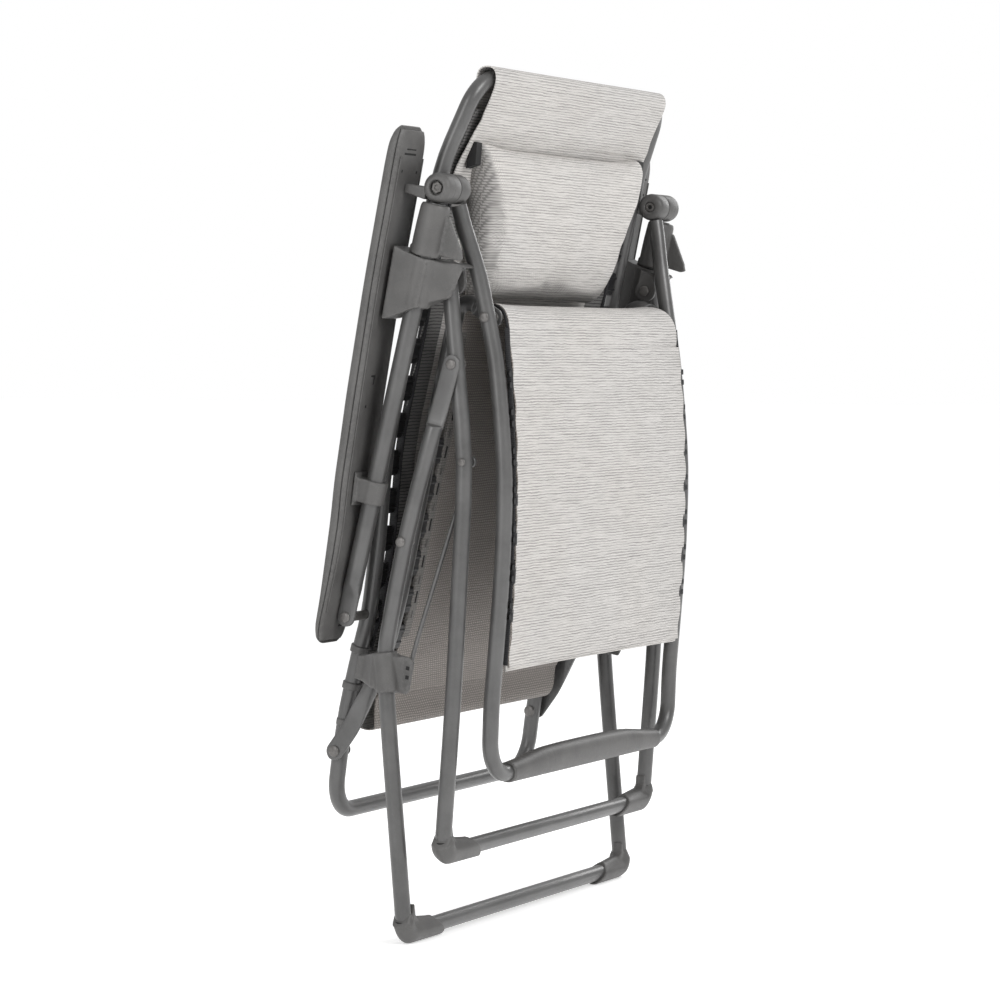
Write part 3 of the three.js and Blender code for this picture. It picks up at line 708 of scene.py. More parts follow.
rear_path = [
    (283, *APEX, FLAT), (283, 40, 601, FLAT), (283, 32.5, 575, FLAT), (REAR_ACROSS, 27, 552),
    (REAR_ACROSS, *PIN), (REAR_ACROSS, *REAR_LEG_BEND), (REAR_ACROSS, -28.3, 278),
    (REAR_ACROSS, -23.2, 211), (REAR_ACROSS, *REAR_BAR, None, 22)]
single("tube_rear_leg", tube(both(rear_path), sides=32, nose=(True, True)), PAINT,
       "rear_legs", "rear_leg_tube")

rail_path = [
    (RAIL_ACROSS, *on_rail(0, 0), RAIL_FLAT), (RAIL_ACROSS, *on_rail(20, 0), RAIL_FLAT),
    (RAIL_ACROSS, *on_rail(42, 0)), (RAIL_ACROSS, *on_rail(463, 0))]
sided("tube_rail", tube(rail_path, (10, 10, 2), sides=36, nose=(True, False)), PAINT,
      "armrest", "armrest_rail")


def stay_rod():
    """thin rod with an eye turned round the stay rivet"""
    span = np.subtract(ROD_END, STAY)
    length = float(np.linalg.norm(span))
    span = span / length
    rod_at = lambda run, across: (across, STAY[0] + span[0] * run, STAY[1] + span[1] * run)
    stations = [rod_at(4, 258.4), rod_at(26, 258.6), rod_at(length - 30, 275.5),
                rod_at(length, 275.8)]
    eye = [(256, 3.4), (256, 6.0), (256.5, 6.4), (260.3, 6.4), (260.8, 6.0), (260.8, 3.4)]
    return gather([tube(stations, (2.5, 2.5, 2), sides=16), turned(STAY, eye, 28)])


sided("stay_rod", stay_rod(), PAINT, "stay_rod", "stay_rod")


# ---------------------------------------------------------------- rivets and bolts
def dome(seat, crown, radius):
    """profile of a rounded head, in order of rising across"""
    profile = [(seat, radius * 0.96), (seat + (crown - seat) * 0.18, radius)]
    for k in range(1, 6):
        angle = k / 5 * math.pi / 2
        profile.append((seat + (crown - seat) * (0.18 + 0.82 * math.sin(angle)),
                        radius * max(0.04, math.cos(angle) ** 0.75)))
    return profile if crown > seat else profile[::-1]


# name, body, node, centre, inner head and outer head (seat, crown, radius), shaft radius,
# collars between the heads (across, radius)
RIVETS = [
    ("apex_rivet", "front_legs", "leg_apex_rivet", APEX,
     (261.6, 258.6, 6.5), (285.2, 287.6, 5.8), 4, []),
    ("hip_pin", "back", "hip_rivet", HIP, (238.5, 235.6, 7), (263.3, 266.0, 6.4), 4,
     [(257.4, 4), (257.5, 7), (258.6, 7), (258.7, 4)]),
    ("arm_pin", "back", "armrest_rear_rivet", REAR,
     (242.4, 239.4, 7), (307.9, 310.4, 5.8), 4,
     [(261.6, 4), (261.8, 5.0), (262.3, 5.2), (301.3, 5.2), (301.8, 5.0), (302, 4)]),
    ("knee_pin", "seat", "knee_rivet", KNEE, (228.3, 225.0, 6.5), (256.5, 259.0, 5.8), 4,
     [(233.6, 4), (233.8, 6.5), (237.5, 6.5), (237.6, 4)]),
    ("rod_rivet", "front_legs", "stay_rivet", STAY,
     (255.5, 253.6, 5), (280.5, 282.6, 4.4), 3, []),
]
for name, body, node, centre, inner, outer, shaft, collars in RIVETS:
    profile = (dome(*inner) + [(inner[0] + 0.1, shaft)] + collars
               + [(outer[0] - 0.1, shaft)] + dome(*outer))
    sided(name, turned(centre, profile, 36), FASTENER, body, node)

seat_pin = [(271.6, 3.5), (271.9, 4.7), (272.4, 5), (278.4, 5), (278.6, 4), (297.4, 4)]
sided("seat_pin", turned(PIN, seat_pin + dome(297.6, 300.0, 5.6), 36), FASTENER,
      "rear_legs", "seat_pivot_pin")

# bracket bolt with a hex socket in its outer head
bracket_bolt = [
    (251.4, 0.5), (251.4, 5.0), (252.0, 6), (254.1, 6), (254.2, 4), (286.4, 4), (286.5, 5.4),
    (288.3, 5.4), (288.9, 4.9), (288.9, 2.9), (286.9, 2.7), (286.9, 0.3)]
sided("bracket_bolt", turned(SLIDE, bracket_bolt, 36), FASTENER,
      "front_legs", "slider_bolt")
# painted shade: a near-black hexagon stands for the shaded hex socket
sided("bracket_bolt_socket", turned(SLIDE, [(286.95, 2.75), (287.1, 2.75)], 6), HOLE_SHADE,
      "front_legs")

# rail end fitting with its hex nut, and the inner half with its socket screw
fitting_outer = [
    (283.6, 0.6), (283.6, 14.2), (284.2, 15.7), (285.4, 16.25), (298.6, 16.25), (299.0, 15.9),
    (299.4, 16.25), (309.2, 16.25), (311.6, 15.8), (313.6, 14.4), (315, 12.2), (315.6, 10.2),
    (315.3, 8.9), (314.6, 8.4), (308.6, 8.2), (308.6, 0.4)]
sided("fitting_outer", turned(KNOB, fitting_outer, 56), PLASTIC,
      "armrest", "rail_end_fitting")
nut = [(308.7, 6.6), (312.2, 6.6), (312.8, 6.0), (312.8, 3.2), (311.4, 3.0), (311.4, 0.3)]
sided("fitting_nut", turned(KNOB, nut, 6, spin=0.3), FASTENER,
      "armrest", "pivot_bolt")
fitting_inner = [
    (283, 0.6), (283, 14.2), (282.3, 15.7), (281.0, 16.25), (265.0, 16.25), (261.4, 15.6),
    (259.0, 13.6), (257.8, 10.8), (257.6, 8.0), (257.9, 6.6), (260.6, 6.2), (260.6, 0.4)]
sided("fitting_inner", turned(KNOB, fitting_inner, 56), PLASTIC,
      "legrest", "pivot_cap")
screw = [(260.5, 5.6), (258.9, 5.6), (258.5, 5.0), (258.5, 2.9), (259.9, 2.7), (259.9, 0.3)]
sided("fitting_inner_screw", turned(KNOB, screw, 36), FASTENER, "legrest")
# painted shade: a near-black hexagon stands for the shaded socket of the screw
sided("fitting_inner_socket", turned(KNOB, [(259.85, 2.75), (259.7, 2.75)], 6), HOLE_SHADE,
      "legrest")

# ---------------------------------------------------------------- slider bracket
# outlines are (along the rail, off the rail); negative off is the upper side
slide_offset = np.subtract(SLIDE, REAR)
SLIDE_ALONG = float(slide_offset @ RAIL_DIRECTION)
SLIDE_OFF = float(slide_offset @ np.array([RAIL_DIRECTION[1], -RAIL_DIRECTION[0]]))


def polar(radius, degrees):
    """place around the slider bolt, in rail coordinates"""
    angle = math.radians(degrees)
    return SLIDE_ALONG + radius * math.cos(angle), SLIDE_OFF + radius * math.sin(angle)


def arc(radius, start, end, steps):
    return [polar(radius, start + (end - start) * k / steps) for k in range(steps + 1)]


bracket = [
    # block over the rail, and the barrel round it
    prism([(328, -27.6), (331, -20), (338, -9), (345, 2), (350, 11.6), (397, 11.6),
           (402.6, 6), (406, -20), (409, -31.6)], 289, 321.4, on_rail),
    turned_on_rail([(349, 15.5), (350.5, 16.7), (401.5, 16.7), (403, 15.5)], 48),
    # flanks that fall from the barrel to the outer ear
    wedge(320.5, [(350, 2), (352.5, 9), (400, 9), (402, 2)],
          283, [(358, 19), (366, 31), (404, 38.5), (403.2, 24)], on_rail),
    wedge(316, [(343, -6), (350, 10), (402, 10), (402.5, -6)],
          282.2, [(352, 12), (360, 21.5), (403.4, 26), (403, 6)], on_rail),
    # outer ear, its root, and the web between the ears
    prism([(345, -10), (349, 7), (356, 16.5), (360, 22)] + arc(13.6, 112, 60, 5)
          + [polar(17, 35), (402.5, 38), (403, 12), (403, -10)], 281.7, 286.2, on_rail),
    prism([(340, -12), (350, 12), (398, 12), (403, 8), (403, -12)], 285.5, 292, on_rail),
    prism([polar(16.2, -16), polar(16.0, 0), polar(16.4, 16), polar(17.6, 30),
           (400.6, 25.5), (403, 10), (398, 8.4)], 255.2, 281.9, on_rail),
    # hood over the top of the ears
    prism([(402.6, 20), (404.4, 30), (403.8, 36), (401.4, 39.6), (400.2, 38.2), (401.4, 35),
           (401.7, 29), (399.6, 20)], 259, 286, on_rail),
    # inner ear
    prism(arc(13.2, -150, -60, 8) + [(398, 8.4), (403, 8.4), (403, 10), (400.6, 25.5),
          polar(17.0, 30)] + arc(13.2, 60, 160, 8), 255, 260.2, on_rail),
    # low boss under the bolt head
    turned(SLIDE, [(285.5, 9.5), (287.2, 9.0)], 36),
]
# painted shade: a near-black ring stands for the shaded gap round the bracket screw head
ring = [(286.9, 5.9), (286.9, 7.0), (287.45, 6.9), (287.45, 5.9)]
sided("bracket_screw_ring", turned(SLIDE, ring, 36), HOLE_SHADE, "front_legs")
fused("bracket", bracket, "slider", "slider_bracket")

# ---------------------------------------------------------------- lock lever
lever = [
    turned_on_rail([(404.8, 15.6), (407, 16.8), (425, 17.0), (440, 16.9), (458, 16.2),
                    (461.8, 14.8)], 44),
    prism([(410, 8), (408.4, 39), (411, 45), (419.6, 41.5), (451.5, 19.5), (451.5, 8)],
          RAIL_ACROSS - 2.1, RAIL_ACROSS + 2.1, on_rail),
    prism([(404.8, -17), (404.8, -5), (420, -5), (413.6, -17)],
          RAIL_ACROSS - 8, RAIL_ACROSS + 8, on_rail),
]
fused("lever", lever, "lock_lever", "lock_lever")

# ---------------------------------------------------------------- stay collar on the rear leg
# outlines are (along the leg, off the leg)
collar_path = [(REAR_ACROSS, *on_leg(-21, 8.0)), (REAR_ACROSS, *on_leg(-16.9, 6.8)),
               (REAR_ACROSS, *on_leg(21, -4.1))]
collar = [
    tube(collar_path, (13.2, 12.4, 2.4), sides=40),
    prism([(-20.5, -13.5), (-20.5, 17), (20.5, 8.5), (20.5, -13.5)], 274, 289, on_leg),
    prism([(-19.5, 12), (-19.5, 27.6), (-13.5, 29.6), (15.8, 29.6), (20.6, 24.8), (20.6, 8)],
          279, 284, on_leg),
    prism([(-17.6, -39.6), (-20.6, -10), (17, -10), (8, -40)], 273.4, 280.6, on_leg),
    wedge(297.5, [(-20, -10), (-20, -2), (18, -8), (18, -14)],
          280, [(-18.4, -32), (-20, -8), (16, -12), (11, -32)], on_leg),
    wedge(298.5, [(-19.5, 8), (-19.5, 14), (18.5, 5), (18.5, 0)],
          282.5, [(-19.3, 15), (-19.3, 23), (19.5, 18), (19.5, 8)], on_leg),
]
fused("collar", collar, "stay_collar", "stay_collar", 0.0011, 5)
# painted shade: near-black squares stand for the shaded square holes in the collar
SLOT_SIZE = 4
for side, sign in (("right", 1), ("left", -1)):
    for k, (along, off) in enumerate(((-3, 23.6), (7, 22.4))):
        square = [(along, off), (along + SLOT_SIZE, off),
                  (along + SLOT_SIZE, off + SLOT_SIZE), (along, off + SLOT_SIZE)]
        slot = mesh_obj(f"collar_slot_{k}_{side}",
                        prism(square, sign * 283.6, sign * 284.4, on_leg), HOLE_SHADE)
        put(slot, f"stay_collar_{side}")

# ---------------------------------------------------------------- armrest clip on the rail
clip = [
    turned_on_rail([(128.2, 13.2), (129, 13.9), (153, 13.9), (153.8, 13.2)], 44),
    prism([(128.2, -16.2), (153.8, -19), (153.8, -4), (128.2, -4)],
          RAIL_ACROSS - 13.6, RAIL_ACROSS + 13.6, on_rail),
    prism([(122.2, -15.6), (159.8, -19.5), (158, -16.4), (124, -12.8)],
          RAIL_ACROSS - 17, RAIL_ACROSS + 17, on_rail),
]
fused("arm_clip", clip, "armrest", "armrest_clip")

# ---------------------------------------------------------------- feet
RIM_SLOPE = 0.30    # the rim round the leg is higher on its inner side


def smooth_step(x):
    x = np.clip(x, 0, 1)
    return x * x * (3 - 2 * x)


def shear_foot(verts, across, height):
    """slant the rim round the leg and the end along the bar (long underneath), flatten below"""
    verts = verts.copy()
    place = -verts[:, 0]
    rim = smooth_step((verts[:, 2] - (height + 5)) / 7) * (np.abs(place - across) < 14)
    verts[:, 2] += rim * RIM_SLOPE * (across - place)
    end = smooth_step((across - 44 - place) / 16)
    verts[:, 0] -= end * 1.05 * np.clip(verts[:, 2] - height, -12.6, 12.6)
    verts[:, 2] = np.maximum(verts[:, 2], height - 12.45)
    return verts


def up_leg(bar, leg_station):
    """places up the leg tube from its bar"""
    depth, height = bar
    rise = (leg_station[1] - depth, leg_station[2] - height)
    length = math.hypot(*rise)
    return lambda run: (depth + rise[0] * run / length, height + rise[1] * run / length)


def foot(bar, across, leg_station):
    depth, height = bar
    along = up_leg(bar, leg_station)
    neck, shoe = (10.2, 10.1, 2.3), (11.6, 11.2, 3.0)
    low = height - 0.6
    stations = [
        (across, *along(14.5), (9.8, 9.8, 2.2)), (across, *along(13.6), neck),
        (across, *along(8), neck), (across, depth, height - 0.2, shoe, 13),
        (across - 66, depth, low, shoe), (across - 69.4, depth, low, shoe),
        (across - 70.6, depth, low, (11.4, 10.7, 3.0))]
    verts, faces = tube(stations, shoe, sides=48, step=4)
    # lip in the inner corner: inset from the leg, height above the bar
    lip = [(7, 6), (7, 20), (9.6, 31), (11.2, 29), (13, 19), (19, 12.5), (25, 5)]
    lip_rings = [[at(across - inset, deep, height + rise) for inset, rise in lip]
                 for deep in (depth - 4.5, depth + 7.5)]
    return [(shear_foot(verts, across, height), faces), loft(lip_rings)]


def foot_rim(bar, across, leg_station):
    """painted shade: a near-black ring where the leg tube drops into the shoe, standing in for the
    shaded gap
    """
    along = up_leg(bar, leg_station)
    rings = []
    for run, radius in ((13.8, 8.8), (13.8, 10.05), (15.2, 9.75), (15.2, 8.8)):
        depth, height = along(run)
        rings.append([at(across + radius * math.cos(angle), depth + radius * math.sin(angle),
                         height - RIM_SLOPE * radius * math.cos(angle))
                      for angle in np.linspace(0, 2 * math.pi, 40, endpoint=False)])
    return loft(rings)


for name, bar, across, path in (("front", FRONT_BAR, FRONT_ACROSS, front_path),
                                ("rear", REAR_BAR, REAR_ACROSS, rear_path)):
    body = f"{name}_legs"
    fused(f"foot_{name}", foot(bar, across, path[-2]), body,
          f"{name}_foot_cap", 0.0011, 5)
    sided(f"foot_{name}_gap", foot_rim(bar, across, path[-2]), HOLE_SHADE, body)

# ---------------------------------------------------------------- footrest grip
# distance from the middle, rise of the centre, half height, half depth
GRIP = np.array([
    (0, 4.6, 15.9, 12.6), (60, 4.5, 15.8, 12.6), (100, 4.2, 15.4, 12.4),
    (120, 3.6, 14.8, 12.2), (140, 2.6, 13.9, 12.0), (160, 1.5, 12.7, 11.8),
    (180, 0.6, 11.8, 11.6), (196, 0.1, 11.4, 11.4), (198.5, 0, 10.9, 10.9),
    (200, 0, 9.8, 9.8)])


def grip_station(across):
    """table row averaged over its surroundings, except near the ends"""
    away = abs(across)
    spots = [min(away + shift, 200) if away < 192 else away for shift in (-7, -3.5, 0, 3.5, 7)]
    rise, half_height, half_depth = (
        float(np.mean([np.interp(spot, GRIP[:, 0], GRIP[:, column]) for spot in spots]))
        for column in (1, 2, 3))
    return (across, LEGREST_BAR[0], LEGREST_BAR[1] + rise, (half_height, half_depth, 2.3))


grip_ends = [200, 198.5, 196, 191]
grip_places = grip_ends + list(np.arange(184, -185, -8.0)) + [-w for w in reversed(grip_ends)]
single("foot_grip", tube([grip_station(w) for w in grip_places], sides=44, ref=(0, 0, 1)),
       PLASTIC, "legrest", "footrest_grip", sharp=50)

# ---------------------------------------------------------------- armrests
ARM_MID, ARM_HALF = 305.5, 33.2
PAD_START, PAD_END = -32, 537
# along the rail, height of the underside and of the top above the rail
PAD = np.array([
    (PAD_START, 11.5, 14.2), (-26, 11.5, 17.5), (-12, 11.5, 20), (16, 11.5, 21.5),
    (60, 11.6, 26), (103, 13.5, 30), (147, 18.9, 35.5), (190, 22, 39), (234, 25.5, 43),
    (278, 28.5, 46), (322, 31.5, 48.8), (365, 34.5, 51.5), (409, 36.5, 53.5), (453, 38, 55.5),
    (496, 40, 57.5), (518, 41, 57.5), (530, 42.4, 55.5), (PAD_END, 44.5, 52.5)], float)
# along the rail, share of the full width
PAD_WIDTH = np.array([
    (-32, 0.50), (-30.5, 0.66), (-28, 0.78), (-24, 0.88), (-18, 0.95), (-10, 0.99), (0, 1),
    (500, 1), (512, 0.99), (521, 0.95), (528, 0.88), (533, 0.79), (536, 0.69), (537, 0.60)])
PAD_STATIONS = np.unique(np.concatenate([
    np.array([-32, -31.4, -30.5, -29.4, -28, -26, -24, -21, -18, -14, -10, -5, 505, 509, 512,
              516, 521, 525, 528, 531, 533, 535, 536.2, 537]), np.arange(0, 500, 12)]))


def pad_at(along, column):
    """table value, averaged along the middle so that the pad bends gently"""
    if not 0 < along < 500:
        return float(np.interp(along, PAD[:, 0], PAD[:, column]))
    return float(np.mean([np.interp(min(536, max(-31, along + shift)), PAD[:, 0], PAD[:, column])
                          for shift in (-12, -8, -4, 0, 4, 8, 12)]))


def underside(along):
    return pad_at(along, 1)


def cover_thickness(along):
    return 2.4 + 2.4 * min(1, max(0, (along - 20) / 120))


def arm_ring(along, bottom, top, crown, outline):
    """outline points are (-1 to 1 across, 0 to 1 from bottom to top)"""
    half = ARM_HALF * float(np.interp(along, PAD_WIDTH[:, 0], PAD_WIDTH[:, 1]))
    ring = []
    for x, y in outline:
        rise = bottom + (top - bottom) * y + crown * max(0, y - 0.5) * (1 - x * x)
        ring.append(at(ARM_MID + half * x, *on_rail(along, -rise)))
    return ring


def shell_outline(count=64):
    """flat below, upright sides, round shoulders"""
    outline = []
    for k in range(count):
        angle = k / count * 2 * math.pi
        y = math.sin(angle)
        y = squared(y, 0.50 if y > 0 else 0.16)
        outline.append((squared(math.cos(angle), 0.40), 0.30 + (0.70 if y > 0 else 0.30) * y))
    return outline


def shell_ring(along):
    """the top drops and the crown fades towards both ends"""
    from_start, from_end = along - PAD_START, PAD_END - along
    top = pad_at(along, 2) - 1.2 * max(0, 1 - from_start / 6) - 1.2 * max(0, 1 - from_end / 6)
    crown = max(0, min(6.0, from_start / 6, from_end / 3))
    bottom = underside(along) + cover_thickness(along) + 0.35
    return arm_ring(along, bottom, top, crown, shell_outline())


def base_ring(along):
    outline = [(-0.80, 0.12), (-0.72, 0), (0.72, 0), (0.80, 0.12), (0.90, 0.5), (0.95, 0.8),
               (0.95, 1), (-0.95, 1), (-0.95, 0.8), (-0.90, 0.5)]
    bottom = underside(along)
    return arm_ring(along, bottom, bottom + cover_thickness(along), 0, outline)


sided("arm_shell", loft([shell_ring(s) for s in PAD_STATIONS]), ARM,
      "armrest", "armrest_shell", sharp=None)
sided("arm_base", loft([base_ring(s) for s in PAD_STATIONS if -28 <= s <= 533]), ARM,
      "armrest", "armrest_base", sharp=25)

# openings in the under-cover, drawn as thin near-black blocks of painted shade: name, start and
# end along the rail, start and end across
ARM_SLOTS = [
    ("arm_slot_top", 506.5, 508.6, 298, 324), ("arm_slot_top2", 512, 513.4, 299, 320),
    ("arm_hole_a", 487, 490, 288.5, 291), ("arm_hole_b", 487, 490, 322, 324.5),
    ("arm_slot_mid", 250, 265, 307, 309.4), ("arm_slot_mid2", 263, 265, 309.4, 315),
    ("arm_hole_c", 229, 232, 316.5, 319), ("arm_slot_low", -14, -11.6, 281, 297),
    ("arm_slot_low2", -7, -4.8, 281, 295),
]
for name, start, end, inner, outer in ARM_SLOTS:
    off = -underside((start + end) / 2)
    outline = [(start, off - 1), (end, off - 1), (end, off + 0.2), (start, off + 0.2)]
    sided(name, prism(outline, inner, outer, on_rail), HOLE_SHADE, "armrest")

# raised rims along both edges of the under-cover
rims = [tube([(across, *on_rail(s, -underside(s) + 0.2)) for s in range(4, 505, 20)],
             (0.9, 0.7, 2), sides=10) for across in (279.5, 331.5)]
sided("arm_rim", gather(rims), ARM, "armrest", sharp=None)
# painted shade: a near-black ring stands for the shaded hole by the rail
rail_hole = [(307.4, 0.4), (307.4, 3.0), (307.75, 3.0), (307.75, 0.4)]
sided("rail_hole", turned(on_rail(25, 0), rail_hole, 24), HOLE_SHADE, "armrest")
# post that carries the top of the pad
post = prism([(466.5, -38.6), (476, -39.2), (478, -12), (464, -12)], 297, 312, on_rail)
fused("arm_post", [post], "armrest", None, voxel=0.0011)

# ---------------------------------------------------------------- sling
CLOTH_THICKNESS = 1.3
SLING_ROWS = {}     # name -> rows (depth, height, half width) and the run along them


def smooth_line(stations, step=5.0):
    """Catmull-Rom curve through the stations, resampled about every step"""
    points = np.array(stations, float)
    points = np.vstack([2 * points[0] - points[1], points, 2 * points[-1] - points[-2]])
    rows = []
    for i in range(1, len(points) - 2):
        p0, p1, p2, p3 = points[i - 1:i + 3]
        before, here, after = (np.linalg.norm(end[:2] - start[:2]) ** 0.5
                               for start, end in ((p0, p1), (p1, p2), (p2, p3)))
        slope1 = ((p1 - p0) / before - (p2 - p0) / (before + here) + (p2 - p1) / here) * here
        slope2 = ((p2 - p1) / here - (p3 - p1) / (here + after) + (p3 - p2) / after) * here
        count = max(2, int(np.linalg.norm(p2[:2] - p1[:2]) / step) + 1)
        for k in range(count):
            t = k / count
            rows.append((2 * t**3 - 3 * t**2 + 1) * p1 + (t**3 - 2 * t**2 + t) * slope1
                        + (-2 * t**3 + 3 * t**2) * p2 + (t**3 - t**2) * slope2)
    rows.append(points[-2])
    rows = np.array(rows)
    return rows, run_along(rows[:, :2])


def sling(name, stations, material, behind=None, sag=None, narrow=None, uv_start=0.0, columns=40):
    """Cloth strip whose rows run across the chair; stations are (depth, height, half width).
    sag(x, run, total) lifts a point off the strip, narrow(run, total) scales the half width.
    material is on the side the strip is lifted to, behind on the other.
    Returns the object and the strip's length in metres."""
    rows, runs = smooth_line(stations)
    even = np.linspace(-1, 1, columns + 1)
    places = np.sin(even * math.pi / 2) * 0.35 + even * 0.65     # closer towards the edges
    verts, uv = [], []
    for i, row in enumerate(rows):
        before, after = rows[max(0, i - 1)], rows[min(len(rows) - 1, i + 1)]
        half = row[2] * (narrow(runs[i], runs[-1]) if narrow else 1)
        for x in places:
            lift = sag(x, runs[i], runs[-1]) if sag else 0.0
            verts.append(at(half * x, *offset(row, before, after, lift)))
            uv.append((half * x / 1000, uv_start + runs[i] / 1000))
    count = columns + 1
    faces = [(i * count + k, i * count + k + 1, (i + 1) * count + k + 1, (i + 1) * count + k)
             for i in range(len(rows) - 1) for k in range(columns)]
    piece = mesh_obj(name, (verts, faces), material, sharp=None, uv=uv)
    thickness = piece.modifiers.new("thickness", "SOLIDIFY")
    thickness.thickness = CLOTH_THICKNESS / 1000
    thickness.offset = 0
    solid = apply_modifiers(piece)
    solid.set_sharp_from_angle(angle=math.radians(55))
    if behind:
        solid.materials.append(behind)
        along = unit((rows[1] - rows[0])[:2])
        lifted_way = Vector((0.0, -along[1], -along[0]))
        first_is_lifted = solid.polygons[columns // 2].normal.dot(lifted_way) > 0
        for face in solid.polygons:
            if face.index < 2 * len(faces):
                is_first = face.index < len(faces)
                face.material_index = 0 if is_first == first_is_lifted else 1
    SLING_ROWS[name] = (rows, runs)
    return piece, runs[-1] / 1000


def ripple(x, run, size=1.0, pitch=42.0):
    """pull marks between the clips, fading towards the middle"""
    return size * math.exp(-(1 - abs(x)) * 9) * math.cos(run / pitch * 2 * math.pi)


def belly(run, total):
    return math.sin(math.pi * min(1, run / total))


def back_sag(x, run, total):
    return -7 * (1 - x * x) * belly(run, total) + ripple(x, run)


def head_sag(x, run, total):
    """soft waves, weaker behind the head bar, and one slanting ridge"""
    wave = 0.9 * math.sin(run * 0.11 + 2.2 * x) * (1 - x * x) * (1 if run < 110 else 0.2)
    return wave + 1.1 * math.exp(-((run - 78 - 6 * x) / 7) ** 2)


def hip_narrow(run, total):
    return 1 - 0.035 * math.exp(-((run - total / 2) / 14) ** 2)


def seat_sag(x, run, total):
    return -8 * (1 - x * x) * belly(run, total) + ripple(x, run)


def knee_sag(x, run, total):
    return -3.0 * abs(x) ** 6 * math.sin(math.pi * run / total)


def legrest_sag(x, run, total):
    return (-4.5 * (1 - abs(x) ** 2.5) * belly(run, total) - 4.0 * abs(x) ** 8
            + ripple(x, run, 0.8))


back_stations = [
    (-95, 262, 234), (-81, 315, 231), (-68.5, 355, 229), (-52, 437, 229), (-42.5, 541, 230),
    (-22, 631, 232), (0, 726, 234), (11, 780, 236), (19, 821, 237), (27, 850, 238),
    (41, 882, 236), (53, 910, 231)]
back_panel, _ = sling("sling_back", back_stations, CLOTH_BACK, behind=CLOTH_UNDER, sag=back_sag)
put(back_panel, "back", "back_panel")

# over the head bar and down behind it
head_stations = [
    (24, 821, 241), (33, 846, 240), (44, 868, 237), (56, 893, 232), (67, 915, 230),
    (75, 932, 231), (78.2, 944, 232), (76.0, 952.5, 232), (70.5, 956.2, 232),
    (62.5, 956.2, 232), (56.5, 952.5, 232), (54.2, 944, 232), (52.5, 932, 231),
    (47, 915, 230), (40, 895, 232), (31, 872, 234), (24.5, 856, 236)]
head_pocket, _ = sling("sling_head", head_stations, CLOTH, sag=head_sag, uv_start=0.561,
                       columns=56)
put(head_pocket, "back", "head_pocket")

# from the back panel under the hip and up to the seat panel
hip_stations = [
    (-94.2, 266, 236), (-95.4, 260, 236), (-98.2, 248, 236), (-99.2, 238, 235),
    (-97.0, 230.5, 234), (-91, 225.5, 233), (-83, 224, 232), (-76, 226, 232),
    (-72.8, 232, 233), (-71.6, 241, 234), (-70.9, 251, 234), (-69.3, 262, 234),
    (-68.0, 267, 234)]
hip, _ = sling("sling_hip", hip_stations, CLOTH_UNDER, behind=CLOTH, narrow=hip_narrow,
               uv_start=-0.09)
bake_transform(hip)

seat_stations = [
    (-69, 262, 234), (-59, 281, 234), (-48.5, 300, 234), (-29.8, 357, 233), (-12.4, 437, 232),
    (0, 500, 228), (10, 556, 220), (19, 631, 214), (26, 673, 214)]
seat_panel, seat_length = sling("sling_seat", seat_stations, CLOTH_UNDER, behind=CLOTH,
                                sag=seat_sag)
put(seat_panel, "seat", "seat_panel")

# over the knee
knee_stations = [
    (26.0, 673, 214), (29.5, 684, 215), (36.0, 692, 216), (46.0, 695, 217),
    (58.76, 695.5, 218), (70.6, 694, 220), (79.71, 690, 223), (86.54, 682, 227),
    (90.2, 671, 230), (91.6, 660, 232), (91.5, 650, 232), (91.7, 643, 232)]
knee, knee_length = sling("sling_knee", knee_stations, CLOTH_UNDER, behind=CLOTH, sag=knee_sag,
                          uv_start=seat_length, columns=48)
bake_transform(knee)

legrest_stations = [
    (91.8, 650, 232), (92.6, 636, 232), (95.7, 600, 232), (98.2, 560, 232), (99.4, 505, 233),
    (98.6, 455, 233), (96.4, 400, 233), (93.2, 350, 233), (90.6, 318, 233), (89.6, 304, 233),
    (89.4, 300, 233)]
legrest_panel, _ = sling("sling_legrest", legrest_stations, CLOTH_UNDER, behind=CLOTH,
                         sag=legrest_sag, uv_start=seat_length + knee_length, columns=56)
put(legrest_panel, "legrest", "legrest_panel")

# rolled hem at the end of the legrest panel, bowed back in the middle
HEM_HALF, HEM_DEPTH, HEM_HEIGHT, HEM_BOW = 233, 89.6, 301.2, -4.2
# share of the half width, share of the bow
hem_path = [(HEM_HALF * side, HEM_DEPTH + HEM_BOW * bow, HEM_HEIGHT)
            for side, bow in ((1, 0), (0.5, 1), (0, 1.3), (-0.5, 1), (-1, 0))]
hem = mesh_obj("hem_legrest", tube(hem_path, (5.2, 1.6, 3), sides=14, ref=(0, 0, 1)), HEM,
               sharp=None)
planar_uv(hem)
put(hem, "legrest")


# ---------------------------------------------------------------- stitches on the legrest
def stitch(start, end, radius):
    """one dash of thread, six-sided and pinched at its ends"""
    along = unit(end - start)
    across = unit(np.cross(along, (0, 0, 1.0) if abs(along[2]) < 0.9 else (1.0, 0, 0)))
    other = np.cross(along, across)
    gap = end - start
    rings = []
    length = np.linalg.norm(gap)
    for point, size in ((start, radius * 0.5), (start + along * 0.4, radius),
                        (start + along * (length - 0.4), radius), (end, radius * 0.5)):
        rings.append([point + across * size * math.cos(k * math.pi / 3)
                      + other * size * math.sin(k * math.pi / 3) for k in range(6)])
    return loft(rings)


def stitches(name, line, body, pitch=5.0, length=3.1, radius=0.34):
    """dashes of thread along a line of world places (mm)"""
    line, runs = np.array(line, float), run_along(line)
    where = lambda run: np.array([np.interp(run, runs, line[:, k]) for k in range(3)])
    dashes = []
    run = 0.0
    while run + length < runs[-1]:
        start, end = where(run), where(run + length)
        if np.linalg.norm(end - start) > 1e-6:
            dashes.append(stitch(start, end, radius))
        run += pitch
    put(mesh_obj(name, gather(dashes), THREAD, sharp=None), body)


